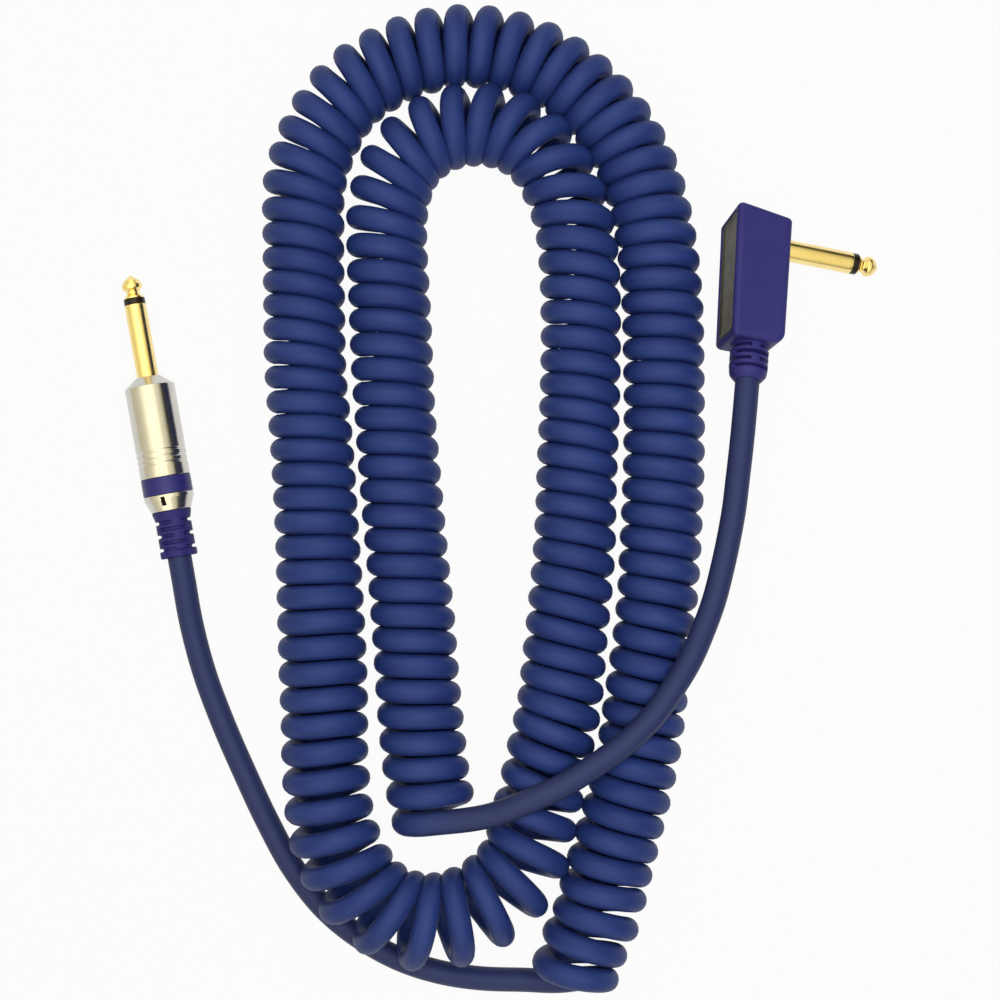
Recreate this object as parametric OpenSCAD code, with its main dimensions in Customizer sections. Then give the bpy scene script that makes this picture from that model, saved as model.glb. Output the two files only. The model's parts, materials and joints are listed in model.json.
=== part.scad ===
// Coiled instrument cable: a straight metal plug and a right-angle moulded plug, both 6.35 mm mono
// phone plugs, joined by one curly cord with a straight tail at each end.
// The cable lies on the plane z = 0, +Z is up, and the plugs stretch along X. The origin is on that
// plane, in the middle of the box round the two plugs.

/* [Cord] */
// Diameter of the cord's jacket
cord_d = 7.1; // [6.6:0.1:7.4]
// Radius of the curls, from the coil's axis to the middle of the cord
curl_r = 8.2; // [8:0.1:8.8]
// How much wider the curls of the bottom bend are
loose_curl_r = 1.2; // [0:0.1:1.6]
// Number of curls
curl_count = 86; // [40:1:90]
// How much of the cord's diameter is cut off flat where the curls stand on the table
curl_flat = 0.1; // [0:0.01:0.1]
// How much longer the pitch is in the bottom bend
loose_pitch = 0.4; // [0:0.05:0.5]
// Diameter of the insulated centre conductor
core_d = 2.6; // [2:0.1:2.8]
// Diameter of the gathered braid
braid_d = 1.8; // [1.2:0.1:2]

/* [Pin] */
// Diameter of the sleeve
sleeve_d = 6.35; // [6.3:0.01:6.4]
// Length of the pin, from the plug's face to the end of the tip
pin_length = 30.5; // [29.5:0.1:31.5]
// Length of the sleeve in front of the plug's face
sleeve_length = 21.8; // [20:0.1:22]
// Thickness of the insulating ring
tip_ring_t = 1.9; // [1.2:0.1:2.2]
// Largest diameter of the ball at the tip
ball_d = 6; // [5.8:0.05:6.2]
// Diameter of the neck behind the ball
neck_d = 3.7; // [3.4:0.1:4.2]
// Wall of the sleeve
sleeve_wall = 0.9; // [0.7:0.05:1.1]
// Diameter of the rod in the middle of the pin
rod_d = 2.2; // [1.8:0.1:2.6]
// How much thinner the sleeve is behind the plug's face, on the radius
shank_step = 0.2; // [0.2:0.05:0.3]

/* [Straight plug] */
// Diameter of the shell
shell_d = 14.7; // [14.2:0.1:15.5]
// Length of the shell
shell_length = 30.1; // [29:0.1:33]
// Wall of the shell
shell_wall = 1.15; // [1:0.05:1.3]
// Length of the cone at the front of the shell
shell_nose = 2.9; // [2.6:0.1:3.2]
// Width of the rim round the pin where the cone starts
shell_rim = 0.5; // [0.3:0.1:0.8]
// Thickness of the shell's front wall
shell_front_t = 3.2; // [3.2:0.1:4]
// Depth of each groove round the shell
groove_depth = 0.35; // [0.1:0.05:0.5]
// Length of the colour ring
colour_ring_length = 5.1; // [4:0.1:6]
// Length of the rear nut behind the colour ring
nut_length = 4.9; // [4.4:0.1:6]
// Diameter of the rear nut's back end
nut_end_d = 11.8; // [11.2:0.1:12.4]
// Length of the boot behind the rear nut
boot_length = 14; // [12:0.1:16]
// Diameter of the boot
boot_d = 10.5; // [10:0.1:11]
// Diameter over the two lugs at the boot's end
boot_lug_d = 10.9; // [10.6:0.1:11.4]
// Wall of the boot where it passes through the rear nut
boot_neck_wall = 0.5; // [0.4:0.05:0.6]
// Depth of the slots round the boot
boot_slot_depth = 1; // [0.5:0.1:1.1]
// Number of rows of slots round the boot
boot_slot_rows = 5; // [3:1:5]
// How far the rear nut unscrews
nut_travel = 3.75; // [3:0.05:4]

/* [Right-angle plug] */
// Depth of the housing, along the pin
housing_depth = 16; // [15:0.1:17.5]
// Width of the housing, across the pin
housing_width = 16; // [15.4:0.1:18]
// Length of the housing on the pin's side
housing_length = 39.2; // [37:0.1:42]
// How much longer the housing is on the badge's side
housing_crown = 2.6; // [1:0.1:3.2]
// How much shorter it is again towards the back of the badge's side
housing_slant = 2.6; // [0:0.1:2.6]
// How far the badge's side flares out towards its long end
housing_flare = 1.2; // [0:0.1:1.5]
// Distance from the pin's axis to the near end of the housing
pin_to_end = 7; // [6.6:0.1:9]
// Radius of the corner beside the strain relief
heel_r = 3.5; // [2:0.5:6]
// Radius of the housing's other edges
housing_edge_r = 1.6; // [0.8:0.1:2]
// Length of the strain relief
relief_length = 10.6; // [9.5:0.1:14]
// Diameter of the strain relief
relief_d = 11.3; // [10.6:0.1:12]
// Number of rows of slots round the strain relief
relief_slot_rows = 4; // [2:1:4]
// Thickness of the badge
badge_t = 0.6; // [0.4:0.1:1]
// Margin round the badge
badge_margin = 2.8; // [2.4:0.1:4]

/* [Hidden] */
$fn = 64;

// Clearances
press_gap = 0.02;     // pieces that are pressed or soldered together
run_gap = 0.05;       // pieces that turn or slide on each other, on the radius
soft_gap = 0.3;       // the boot round the cord
eps = 0.01;           // overshoot of a cut

cord_r = cord_d / 2;
cord_sides = 10;
sleeve_bore_d = sleeve_d - 2 * sleeve_wall;
tube_d = sleeve_bore_d - 2 * press_gap;
ring_end = sleeve_length + tip_ring_t;

// ---- Where the plugs lie -------------------------------------------------------------------

// The straight plug lies on its shell. Its face is here, and its pin points this way in the plane.
straight_face = [-104, 2];
straight_turn = 10;

// The right-angle plug leans on the end of its housing and its pin. Here is the pin's axis in the
// middle of the housing, with the turn in the plane, the lean of the cord's end and the roll.
angle_centre = [76.6, 41];
angle_turn = -6;
angle_lean = 15;
angle_roll = 12.5;

module straight_place() {
    translate([straight_face.x, straight_face.y, shell_d / 2])
        rotate([0, 0, straight_turn])
            rotate([-90, 0, 0])
                children();
}

// A point of the right-angle plug, turned as the plug is
function angle_turned(p) =
    let (rolled = [p.x * cos(angle_roll) + p.z * sin(angle_roll), p.y,
                   -p.x * sin(angle_roll) + p.z * cos(angle_roll)],
         leant = [rolled.x, rolled.y * cos(angle_lean) + rolled.z * sin(angle_lean),
                  -rolled.y * sin(angle_lean) + rolled.z * cos(angle_lean)])
    [leant.x * cos(angle_turn) - leant.y * sin(angle_turn),
     leant.x * sin(angle_turn) + leant.y * cos(angle_turn), leant.z];

// The corner on which the housing stands, as the middle of its rounding. Its three round edges meet
// this many radii from there.
housing_foot = [housing_depth / 2 - housing_edge_r, pin_to_end - housing_edge_r,
                housing_edge_r - housing_width / 2];
foot_reach = sqrt(1.5);
angle_height = foot_reach * housing_edge_r - angle_turned(housing_foot).z;

module angle_place() {
    translate([angle_centre.x, angle_centre.y, angle_height])
        rotate([0, 0, angle_turn])
            rotate([-angle_lean, 0, 0])
                rotate([0, angle_roll, 0])
                    children();
}

module angle_pin_place() {
    angle_place()
        translate([housing_depth / 2, 0, 0])
            rotate([0, 90, 0])
                children();
}

// ---- The pin, along +Z from the plug's face -----------------------------------------------

module tube(outer_d, inner_d, from, to) {
    translate([0, 0, from])
        difference() {
            cylinder(d = outer_d, h = to - from);
            translate([0, 0, -eps])
                cylinder(d = inner_d, h = to - from + 2 * eps);
        }
}

shank_d = sleeve_d - 2 * shank_step;
tip_socket = 1.2;     // how deep the rod sits in the tip

module pin_tip() {
    neck_r = neck_d / 2;
    ball_r = ball_d / 2;
    difference() {
        rotate_extrude()
            polygon([
                [0, ring_end], [ball_r - 0.1, ring_end], [ball_r - 0.3, ring_end + 0.5],
                [neck_r, ring_end + 1.4], [neck_r, ring_end + 1.9],
                [ball_r - 0.3, pin_length - 3.9], [ball_r, pin_length - 3.3],
                [ball_r, pin_length - 2.6], [ball_r - 0.5, pin_length - 1.5],
                [ball_r - 1.6, pin_length - 0.5], [0.8, pin_length - 0.3],
                [0.5, pin_length], [0, pin_length]
            ]);
        translate([0, 0, ring_end - eps])
            cylinder(d = rod_d + 2 * press_gap, h = tip_socket + press_gap);
    }
}

module pin_tip_ring() {
    tube(sleeve_d - 0.1, rod_d + 2 * press_gap, sleeve_length, ring_end);
}

// back: how far the sleeve reaches behind the face, where it is a little thinner
module pin_sleeve(back) {
    tube(sleeve_d, sleeve_bore_d, 0, sleeve_length);
    tube(shank_d, sleeve_bore_d, -back, 0);
}

module pin_sleeve_tube(back) {
    tube(tube_d, rod_d + 2 * press_gap, -back, sleeve_length);
}

module pin_tip_rod(back) {
    translate([0, 0, -back])
        cylinder(d = rod_d, h = back + ring_end + tip_socket);
}

// ---- The straight plug, along -Z from its face --------------------------------------------

shell_bore_d = shell_d - 2 * shell_wall;
flange_t = 2;
flange_front = shell_front_t + run_gap;
flange_back = flange_front + flange_t;
lug_t = 0.6;
insert_front = flange_back + lug_t + press_gap;
insert_back = insert_front + 4;
straight_tube_back = insert_front + 1.5;
tip_lug_back = insert_back + press_gap + lug_t;
nut_front = shell_length + run_gap + colour_ring_length + run_gap;
nut_back = nut_front + nut_length;
spigot_d = shell_bore_d - 2 * run_gap;
spigot_wall = 0.8;
spigot_bore_d = spigot_d - 2 * spigot_wall;
spigot_length = 7.8;
nut_wall_t = 1.8;
collet_flange_t = 1.45;
collet_length = 7.5;
collet_front = nut_front - spigot_length - run_gap - collet_flange_t;
clamp_length = 4;
jacket_front = collet_front - 1 - clamp_length;        // where the jacket is cut back to
core_gap = 2.5;                                        // from the tip lug to the stripped core
core_length = jacket_front - tip_lug_back - core_gap;  // stripped lengths in front of the jacket
braid_length = core_length - 2;
tab_gap = 3;                                           // from the jacket to the tip lug's tab
boot_bore_d = cord_d + 2 * soft_gap;
boot_neck_d = boot_bore_d + 2 * boot_neck_wall;
boot_flange_t = 2.1;
boot_back = nut_back + boot_length;
straight_cord_exit = boot_back + nut_travel + 3;       // past the boot when the nut is undone

module straight_shell() {
    color("silver")
        straight_place()
            difference() {
                rotate_extrude()
                    polygon([
                        [0, 0], [sleeve_d / 2 + shell_rim, 0], [shell_d / 2, -shell_nose],
                        [shell_d / 2, -shell_length], [0, -shell_length]
                    ]);
                translate([0, 0, -shell_length - eps])
                    cylinder(d = shell_bore_d, h = shell_length - shell_front_t + eps);
                translate([0, 0, -shell_front_t - eps])
                    cylinder(d = sleeve_d + 2 * run_gap, h = shell_front_t + 2 * eps);
                for (i = [0 : 2])
                    tube(shell_d + 1, shell_d - 2 * groove_depth,
                         -shell_length + 3 + 2.1 * i, -shell_length + 3.8 + 2.1 * i);
            }
}

module straight_sleeve() {
    color("gold")
        straight_place() {
            pin_sleeve(flange_back);
            tube(shell_bore_d - 2 * run_gap, sleeve_bore_d, -flange_back, -flange_front);
        }
}

module straight_sleeve_tube() {
    color("white")
        straight_place()
            pin_sleeve_tube(straight_tube_back);
}

module straight_tip() {
    color("gold")
        straight_place()
            pin_tip();
}

module straight_tip_ring() {
    color("black")
        straight_place()
            pin_tip_ring();
}

module straight_tip_rod() {
    color("goldenrod")
        straight_place()
            pin_tip_rod(tip_lug_back);
}

// The strip of the ground lug runs back along the cord on the -X side
strip_x = -cord_r - run_gap - lug_t;
strip_width = 4;
insert_d = shell_bore_d - 2 * run_gap;

module straight_insert() {
    color("dimgray")
        straight_place()
            difference() {
                translate([0, 0, -insert_back])
                    cylinder(d = insert_d, h = insert_back - insert_front);
                translate([0, 0, -straight_tube_back - press_gap])
                    cylinder(d = tube_d + 2 * press_gap, h = straight_tube_back);
                translate([0, 0, -insert_back - eps])
                    cylinder(d = rod_d + 2 * press_gap, h = insert_back);
                translate([-shell_d, -strip_width / 2 - run_gap, -insert_back - eps])
                    cube([shell_d + strip_x + lug_t + run_gap, strip_width + 2 * run_gap, insert_back]);
            }
}

module straight_tip_lug() {
    color("goldenrod")
        straight_place()
            difference() {
                union() {
                    translate([0, 0, -tip_lug_back])
                        cylinder(d = 5, h = lug_t);
                    translate([core_x + core_d / 2 + press_gap, -1.5, tab_gap - jacket_front])
                        cube([lug_t, 3, jacket_front - tab_gap - insert_back - press_gap]);
                }
                translate([0, 0, -tip_lug_back - 1])
                    cylinder(d = rod_d + 2 * press_gap, h = lug_t + 2);
            }
}

module straight_ground_lug() {
    color("goldenrod")
        straight_place() {
            tube(insert_d - 0.4, tube_d + 2 * press_gap, -flange_back - lug_t, -flange_back);
            translate([strip_x, -strip_width / 2, -jacket_front - clamp_length])
                cube([lug_t, strip_width, jacket_front + clamp_length - flange_back]);
            translate([0, 0, -jacket_front - clamp_length])
                rotate([0, 0, 50])
                    rotate_extrude(angle = 260)
                        translate([cord_r + run_gap, 0])
                            square([lug_t, clamp_length]);
        }
}

module straight_collet() {
    collet_back = collet_front + collet_length;
    collet_slit_w = 0.8;
    color("white")
        straight_place()
            difference() {
                union() {
                    tube(spigot_bore_d - 4 * run_gap, cord_d + 2 * run_gap, -collet_back, -collet_front);
                    tube(insert_d, cord_d + 2 * run_gap, -collet_front - collet_flange_t,
                         -collet_front);
                }
                for (turn = [0, 90])
                    rotate([0, 0, turn])
                        translate([-shell_d / 2, -collet_slit_w / 2, -collet_back - eps])
                            cube([shell_d, collet_slit_w, collet_length - 2]);
            }
}

// The two stripped ends of the cord start at the jacket's cut end
core_x = 0.3;
straight_braid_x = strip_x + lug_t + press_gap + braid_d / 2;

module straight_core() {
    color("ivory")
        straight_place()
            translate([core_x, 0, -jacket_front])
                cylinder(d = core_d, h = core_length);
}

module straight_braid() {
    color("peru")
        straight_place()
            translate([straight_braid_x, 0, -jacket_front])
                cylinder(d = braid_d, h = braid_length);
}

module straight_colour_ring() {
    color("darkslateblue")
        straight_place()
            tube(shell_d, spigot_d + 2 * run_gap, -shell_length - run_gap - colour_ring_length,
                 -shell_length - run_gap);
}

// Two slots along the nut take a spanner
nut_slot_w = 1;
nut_slot_length = 2.4;
nut_slot_front = 0.8;      // from the nut's front
nut_slot_turn = -95;       // from +X round to the middle of the first slot
nut_rim_length = 1.2;      // the part of the nut as wide as the shell

module straight_rear_nut() {
    color("silver")
        straight_place()
            difference() {
                union() {
                    translate([0, 0, -nut_front])
                        cylinder(d = spigot_d, h = spigot_length);
                    rotate_extrude()
                        polygon([
                            [0, -nut_front], [shell_d / 2, -nut_front],
                            [shell_d / 2, -nut_front - nut_rim_length], [nut_end_d / 2, -nut_back],
                            [0, -nut_back]
                        ]);
                }
                translate([0, 0, -nut_back + nut_wall_t])
                    cylinder(d = spigot_bore_d, h = nut_length + spigot_length);
                translate([0, 0, -nut_back - eps])
                    cylinder(d = boot_neck_d + 2 * run_gap, h = nut_length);
                for (side = [0, 180])
                    rotate([0, 0, nut_slot_turn + side])
                        translate([nut_end_d / 2, -nut_slot_w / 2,
                                   -nut_front - nut_slot_front - nut_slot_length])
                            cube([shell_d, nut_slot_w, nut_slot_length]);
            }
}

// A slot cut into a round body of diameter d: from angle middle - sweep / 2 to middle + sweep / 2,
// up from height z
module slot(d, depth, z, height, middle, sweep) {
    translate([0, 0, z])
        rotate([0, 0, middle - sweep / 2])
            rotate_extrude(angle = sweep)
                translate([d / 2 - depth, 0])
                    square([depth + 1, height]);
}

boot_taper = 2.6;          // from the nut, where the boot is as wide as the nut, to its own diameter
boot_lug_length = 2.2;
boot_slot_t = 0.9;
boot_first_slot = 3.3;     // from the nut to the middle of the first row
boot_slot_pitch = 2;
boot_short_slot_sweep = 36;
boot_short_slot_turn = 15; // from the front round to the middle of a short slot
front = -90;               // the side away from the table

module straight_boot() {
    flange_back_z = nut_back - nut_wall_t - run_gap;
    boot_front = nut_back + run_gap;
    color("darkslateblue")
        straight_place()
            difference() {
                union() {
                    translate([0, 0, -boot_front])
                        cylinder(d = boot_neck_d, h = boot_front - flange_back_z);
                    translate([0, 0, -flange_back_z])
                        cylinder(d = spigot_bore_d - 4 * run_gap, h = boot_flange_t);
                    rotate_extrude()
                        polygon([
                            [0, -boot_front], [nut_end_d / 2, -boot_front],
                            [boot_d / 2, -boot_front - boot_taper],
                            [boot_d / 2, boot_lug_length - boot_back],
                            [boot_lug_d / 2, boot_lug_length - boot_back],
                            [boot_lug_d / 2, -boot_back], [0, -boot_back]
                        ]);
                }
                translate([0, 0, -boot_back - eps])
                    cylinder(d = boot_bore_d, h = boot_back);
                // Rows with a slot at each side and a short one in front and behind take turns with
                // rows that have a wide slot in front and behind
                for (row = [0 : boot_slot_rows - 1])
                    for (side = [0, 180])
                        let (z = -nut_back - boot_first_slot - boot_slot_pitch * row - boot_slot_t / 2) {
                            slot(boot_d, boot_slot_depth, z, boot_slot_t,
                                 (row % 2 == 0 ? 0 : front) + side, 100);
                            if (row % 2 == 0)
                                slot(boot_d, boot_slot_depth, z, boot_slot_t,
                                     front + side - boot_short_slot_turn, boot_short_slot_sweep);
                        }
                // between the lugs
                for (side = [0, 180])
                    slot(boot_lug_d, boot_slot_depth + 0.2, -boot_back - eps, boot_lug_length,
                         front + side, 100);
            }
}

module straight_cord_end() {
    color("midnightblue")
        straight_place()
            translate([0, 0, -straight_cord_exit])
                cylinder(d = cord_d, h = straight_cord_exit - jacket_front);
}

// ---- The right-angle plug: pin along +X, cord along -Y, in its own axes -------------------

housing_back = pin_to_end - housing_length;
relief_end = housing_back - relief_length;
housing_wall = 2.4;
cavity_x = [-housing_depth / 2 + 3.6, housing_depth / 2 - housing_wall];
cavity_y = [-24, pin_to_end - 1.5];
cavity_w = 11.2;
lug_width = 3.6;
angle_ground_x = cavity_x[1] - press_gap - lug_t;
angle_insert_x = [cavity_x[0] + lug_t + 0.8, angle_ground_x - press_gap];
angle_insert_back = -6.5;
angle_tip_lug_x = angle_insert_x[0] - press_gap - lug_t;
angle_sleeve_back = housing_depth / 2 - angle_insert_x[0] - 1.6;

function unit(v) = v / norm(v);

// The arc that rounds corner b of an outline a, b, c with radius r
function corner_arc(a, b, c, r, steps = 6) =
    let (u = unit(a - b), w = unit(c - b), half = acos(u * w) / 2,
         middle = b + unit(u + w) * r / sin(half),
         from = b + u * r / tan(half) - middle, to = b + w * r / tan(half) - middle,
         sweep = 180 - 2 * half)
    [for (i = [0 : steps])
        middle + (from * sin(sweep * (1 - i / steps)) + to * sin(sweep * i / steps)) / sin(sweep)];

// A convex outline with each corner rounded by its own radius
function rounded(points, radii) =
    let (n = len(points))
    [for (i = [0 : n - 1])
        each corner_arc(points[(i + n - 1) % n], points[i], points[(i + 1) % n], radii[i])];

function rectangle(low, high) = [low, [high.x, low.y], high, [low.x, high.y]];

// The badge's side flares: here x goes in from it and y along it, from the housing's cord end
module badge_side_place() {
    translate([-housing_depth / 2, housing_back, 0])
        rotate([0, 0, atan(housing_flare / (pin_to_end + housing_crown - housing_back))])
            children();
}

module housing_body() {
    half_d = housing_depth / 2;
    half_w = housing_width / 2;
    top = pin_to_end + housing_crown;
    e = housing_edge_r;
    intersection() {
        // seen along the width: the crowned end and the round heel
        translate([0, 0, -half_w])
            linear_extrude(housing_width)
                polygon(rounded([[-half_d, housing_back], [half_d, housing_back], [half_d, pin_to_end],
                                 [-half_d - housing_flare, top]], [e, heel_r, e, e]));
        // seen along the pin: the slanted end
        rotate([90, 0, 90])
            translate([0, 0, -half_d - housing_flare])
                linear_extrude(housing_depth + housing_flare)
                    polygon(rounded([[housing_back, -half_w], [top - housing_slant, -half_w],
                                     [top, half_w], [housing_back, half_w]], [e, e, e, e]));
        // seen along the cord, and the badge's side again, so that its edges are round too
        rotate([90, 0, 0])
            translate([0, 0, -top])
                linear_extrude(top - housing_back)
                    polygon(rounded(rectangle([-half_d - housing_flare, -half_w], [half_d, half_w]),
                                    [e, e, e, e]));
        badge_side_place()
            rotate([-90, 0, 0])
                linear_extrude(3 * housing_length, center = true)
                    polygon(rounded(rectangle([0, -half_w], [2 * housing_depth, half_w]), [e, e, e, e]));
    }
}

relief_slot_t = 0.9;
relief_slot_pitch = 2.07;
relief_slot_depth = 1.3;
relief_first_slot = 1;     // from the housing to the middle of the first row

relief_root = 11;          // how far the barrel reaches into the housing

module relief_body() {
    barrel_front = -housing_back - relief_root;
    rotate([90, 0, 0])
        rotate_extrude()
            polygon([
                [0, barrel_front], [relief_d / 2, barrel_front], [relief_d / 2, -relief_end - 3],
                [relief_d / 2 - 0.5, -relief_end - 1], [relief_d / 2 - 1.4, -relief_end], [0, -relief_end]
            ]);
}

badge_pocket = badge_t + 0.3;
badge_corner_r = 2;

// The outline's long way is x and its width is y, as in badge_plate
module badge_outline(grow) {
    m = badge_margin - grow;
    half_w = housing_width / 2 - m;
    long_end = pin_to_end + housing_crown - housing_back - m;
    slope = housing_slant / housing_width;
    polygon(rounded([[m, -half_w], [long_end - slope * (housing_width - m), -half_w],
                     [long_end - slope * m, half_w], [m, half_w]],
                    [for (i = [0 : 3]) badge_corner_r]));
}

// A plate of the badge's outline, from so deep in the badge's side
module badge_plate(depth, thickness, grow) {
    badge_side_place()
        translate([depth, 0, 0])
            rotate([90, 0, 90])
                linear_extrude(thickness)
                    badge_outline(grow);
}

module angle_housing() {
    color("darkslateblue")
        angle_place()
            difference() {
                union() {
                    housing_body();
                    relief_body();
                }
                // the room for the contacts, the bore of the cord and the hole of the sleeve
                translate([cavity_x[0], cavity_y[0], -cavity_w / 2])
                    cube([cavity_x[1] - cavity_x[0], cavity_y[1] - cavity_y[0], cavity_w]);
                translate([0, cavity_y[0] + eps, 0])
                    rotate([90, 0, 0])
                        cylinder(d = cord_d + 2 * press_gap, h = cavity_y[0] - relief_end + 2 * eps);
                translate([cavity_x[1] - eps, 0, 0])
                    rotate([0, 90, 0])
                        cylinder(d = shank_d + 2 * press_gap, h = housing_depth);
                // the pocket of the badge
                badge_plate(-1, badge_pocket + 1, press_gap);
                // two slots in each row, a quarter turn on from one row to the next
                rotate([90, 0, 0])
                    for (row = [0 : relief_slot_rows - 1])
                        for (side = [0, 180])
                            slot(relief_d, relief_slot_depth,
                                 -housing_back + relief_first_slot + relief_slot_pitch * row
                                 - relief_slot_t / 2,
                                 relief_slot_t, 90 * row + side, 150);
            }
}

module angle_badge() {
    color("darkslategray")
        angle_place()
            badge_plate(badge_pocket - badge_t - press_gap, badge_t, 0);
}

module angle_sleeve() {
    color("gold")
        angle_pin_place()
            pin_sleeve(angle_sleeve_back);
}

module angle_sleeve_tube() {
    color("white")
        angle_pin_place()
            pin_sleeve_tube(angle_sleeve_back);
}

module angle_tip() {
    color("gold")
        angle_pin_place()
            pin_tip();
}

module angle_tip_ring() {
    color("black")
        angle_pin_place()
            pin_tip_ring();
}

module angle_tip_rod() {
    color("goldenrod")
        angle_pin_place()
            pin_tip_rod(housing_depth / 2 - angle_tip_lug_x);
}

module angle_insert() {
    w = cavity_w - 2 * press_gap;
    color("dimgray")
        angle_place()
            difference() {
                translate([angle_insert_x[0], angle_insert_back, -w / 2])
                    cube([angle_insert_x[1] - angle_insert_x[0],
                          cavity_y[1] - press_gap - angle_insert_back, w]);
                translate([housing_depth / 2 - angle_sleeve_back - press_gap, 0, 0])
                    rotate([0, 90, 0])
                        cylinder(d = shank_d + 2 * press_gap, h = housing_depth);
                translate([angle_insert_x[0] - eps, 0, 0])
                    rotate([0, 90, 0])
                        cylinder(d = rod_d + 2 * press_gap, h = housing_depth);
            }
}

module angle_tip_lug() {
    color("goldenrod")
        angle_place()
            difference() {
                union() {
                    translate([angle_tip_lug_x, 0, 0])
                        rotate([0, 90, 0])
                            cylinder(d = 5, h = lug_t);
                    translate([angle_tip_lug_x, -18, -lug_width / 2])
                        cube([lug_t, 18, lug_width]);
                }
                translate([angle_tip_lug_x - 1, 0, 0])
                    rotate([0, 90, 0])
                        cylinder(d = rod_d + 2 * press_gap, h = lug_t + 2);
            }
}

angle_core_x = angle_tip_lug_x + lug_t + press_gap + core_d / 2;
angle_braid_x = angle_core_x + core_d / 2 + braid_d / 2 + 0.5;
angle_strip_x = angle_braid_x + braid_d / 2 + press_gap;
angle_jog_y = angle_insert_back - press_gap - lug_t;

module angle_ground_lug() {
    color("goldenrod")
        angle_place() {
            difference() {
                union() {
                    translate([angle_ground_x, 0, 0])
                        rotate([0, 90, 0])
                            cylinder(d = 9, h = lug_t);
                    translate([angle_ground_x, angle_jog_y, -lug_width / 2])
                        cube([lug_t, -angle_jog_y, lug_width]);
                }
                translate([angle_ground_x - 1, 0, 0])
                    rotate([0, 90, 0])
                        cylinder(d = shank_d + 2 * press_gap, h = lug_t + 2);
            }
            translate([angle_strip_x, angle_jog_y, -lug_width / 2])
                cube([angle_ground_x + lug_t - angle_strip_x, lug_t, lug_width]);
            translate([angle_strip_x, -20, -lug_width / 2])
                cube([lug_t, 20 + angle_jog_y + lug_t, lug_width]);
        }
}

module angle_core() {
    color("ivory")
        angle_place()
            translate([angle_core_x, -12, 0])
                rotate([90, 0, 0])
                    cylinder(d = core_d, h = -12 - cavity_y[0]);
}

module angle_braid() {
    color("peru")
        angle_place()
            translate([angle_braid_x, -13, 0])
                rotate([90, 0, 0])
                    cylinder(d = braid_d, h = -13 - cavity_y[0]);
}

module angle_cord_end() {
    color("midnightblue")
        angle_place()
            translate([0, cavity_y[0], 0])
                rotate([90, 0, 0])
                    cylinder(d = cord_d, h = cavity_y[0] - relief_end);
}

// ---- The cord ------------------------------------------------------------------------------

// The coil's axis in the plane, from the straight plug's tail to the right-angle plug's tail:
// up the outer right strand, over the top, down the outer left, round the bottom bend, up the inner
// right, over the inner bend and down the inner left strand.
COIL_AXIS = [
    [21.5, -178], [22.5, -173], [25, -165.5], [28.5, -157], [31.5, -147.5], [35.5, -132.5],
    [38.5, -121.5], [41.5, -108], [43.5, -93.5], [45.5, -78.5], [47, -64], [48, -47], [49, -20],
    [49, 7.5], [48.5, 23], [47.5, 37.5], [45, 51], [40.5, 64], [33.5, 76], [24, 86],
    [12, 94], [-4, 98.5], [-19, 98], [-32, 93.5], [-43, 85.5], [-51, 73.5], [-55.5, 59.5], [-57, 44],
    [-57, 24.5], [-56.5, 1.5], [-55, -15], [-53, -47], [-52, -75.5], [-51.5, -93.5], [-51, -118],
    [-49, -133], [-45, -142.5], [-39, -150.5], [-31, -156], [-22, -158.5], [-12.5, -157.5], [-4, -153.5],
    [3, -146.5], [7.5, -138], [10.5, -129], [12.5, -121.5], [15.5, -107], [17.5, -97.5], [19.5, -76.5],
    [22, -47], [22.5, -28.5], [23.5, -2], [23.5, 19.5], [22.5, 33.5], [20.5, 46], [16.5, 57],
    [11, 65.5], [4, 70.5], [-4, 72.5], [-12, 72], [-19.5, 69], [-25.5, 64], [-29.5, 57],
    [-31.5, 48.5], [-32, 39.5], [-31.5, 24.5], [-30.5, -4], [-28, -36.5], [-25, -69], [-23, -97.5],
    [-20.5, -120], [-18.5, -129.5]
];
// Where along the axis the bottom bend is, and how far it reaches
bend_place = 592;
bend_reach = 42;

// Free points of the tails, between what holds their ends. The first tail lies on the table, the
// second goes over two strands of the coil.
STRAIGHT_TAIL = [
    [-91.6, -70.5, 5.2], [-88, -85.5, 3.6], [-82.5, -100.5, 3.6], [-76, -115.5, 3.6], [-69, -130.5, 3.6],
    [-61, -145, 3.6], [-51, -157.5, 3.6], [-39.5, -166.5, 3.6], [-28, -172.5, 3.6], [-16.5, -176, 3.6],
    [-5, -177.7, 3.6], [6.5, -178.1, 3.6]
];
ANGLE_TAIL = [
    [-1.5, -125, 25.5], [8, -121, 28], [18, -116.5, 28.4], [27, -111, 28.2], [35.5, -105, 28.2],
    [43.5, -97.5, 28.3], [50, -88.8, 27.8], [55.3, -80.5, 26], [59.3, -72, 24], [62.6, -63.5, 22.4],
    [65, -54.8, 21.2], [67, -46, 20.6], [68.5, -37.5, 20.8], [69.5, -28.5, 21.6], [70.4, -19.5, 22.7]
];

// Smooth curve: between two points it is the cubic whose slope at a point is the mean of the two
// chords there, the shorter chord counting more. first and last are the slopes at the ends.
function chord_slope(p, i, first, last) =
    i == 0 ? first
    : i == len(p) - 1 ? last
    : let (a = norm(p[i] - p[i - 1]), b = norm(p[i + 1] - p[i]))
      ((p[i] - p[i - 1]) / a * b + (p[i + 1] - p[i]) / b * a) / (a + b);

function cubic(p, q, u, v, t) =
    let (h = norm(q - p))
    (2 * pow(t, 3) - 3 * pow(t, 2) + 1) * p + (pow(t, 3) - 2 * pow(t, 2) + t) * h * u
    + (3 * pow(t, 2) - 2 * pow(t, 3)) * q + (pow(t, 3) - pow(t, 2)) * h * v;

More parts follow.
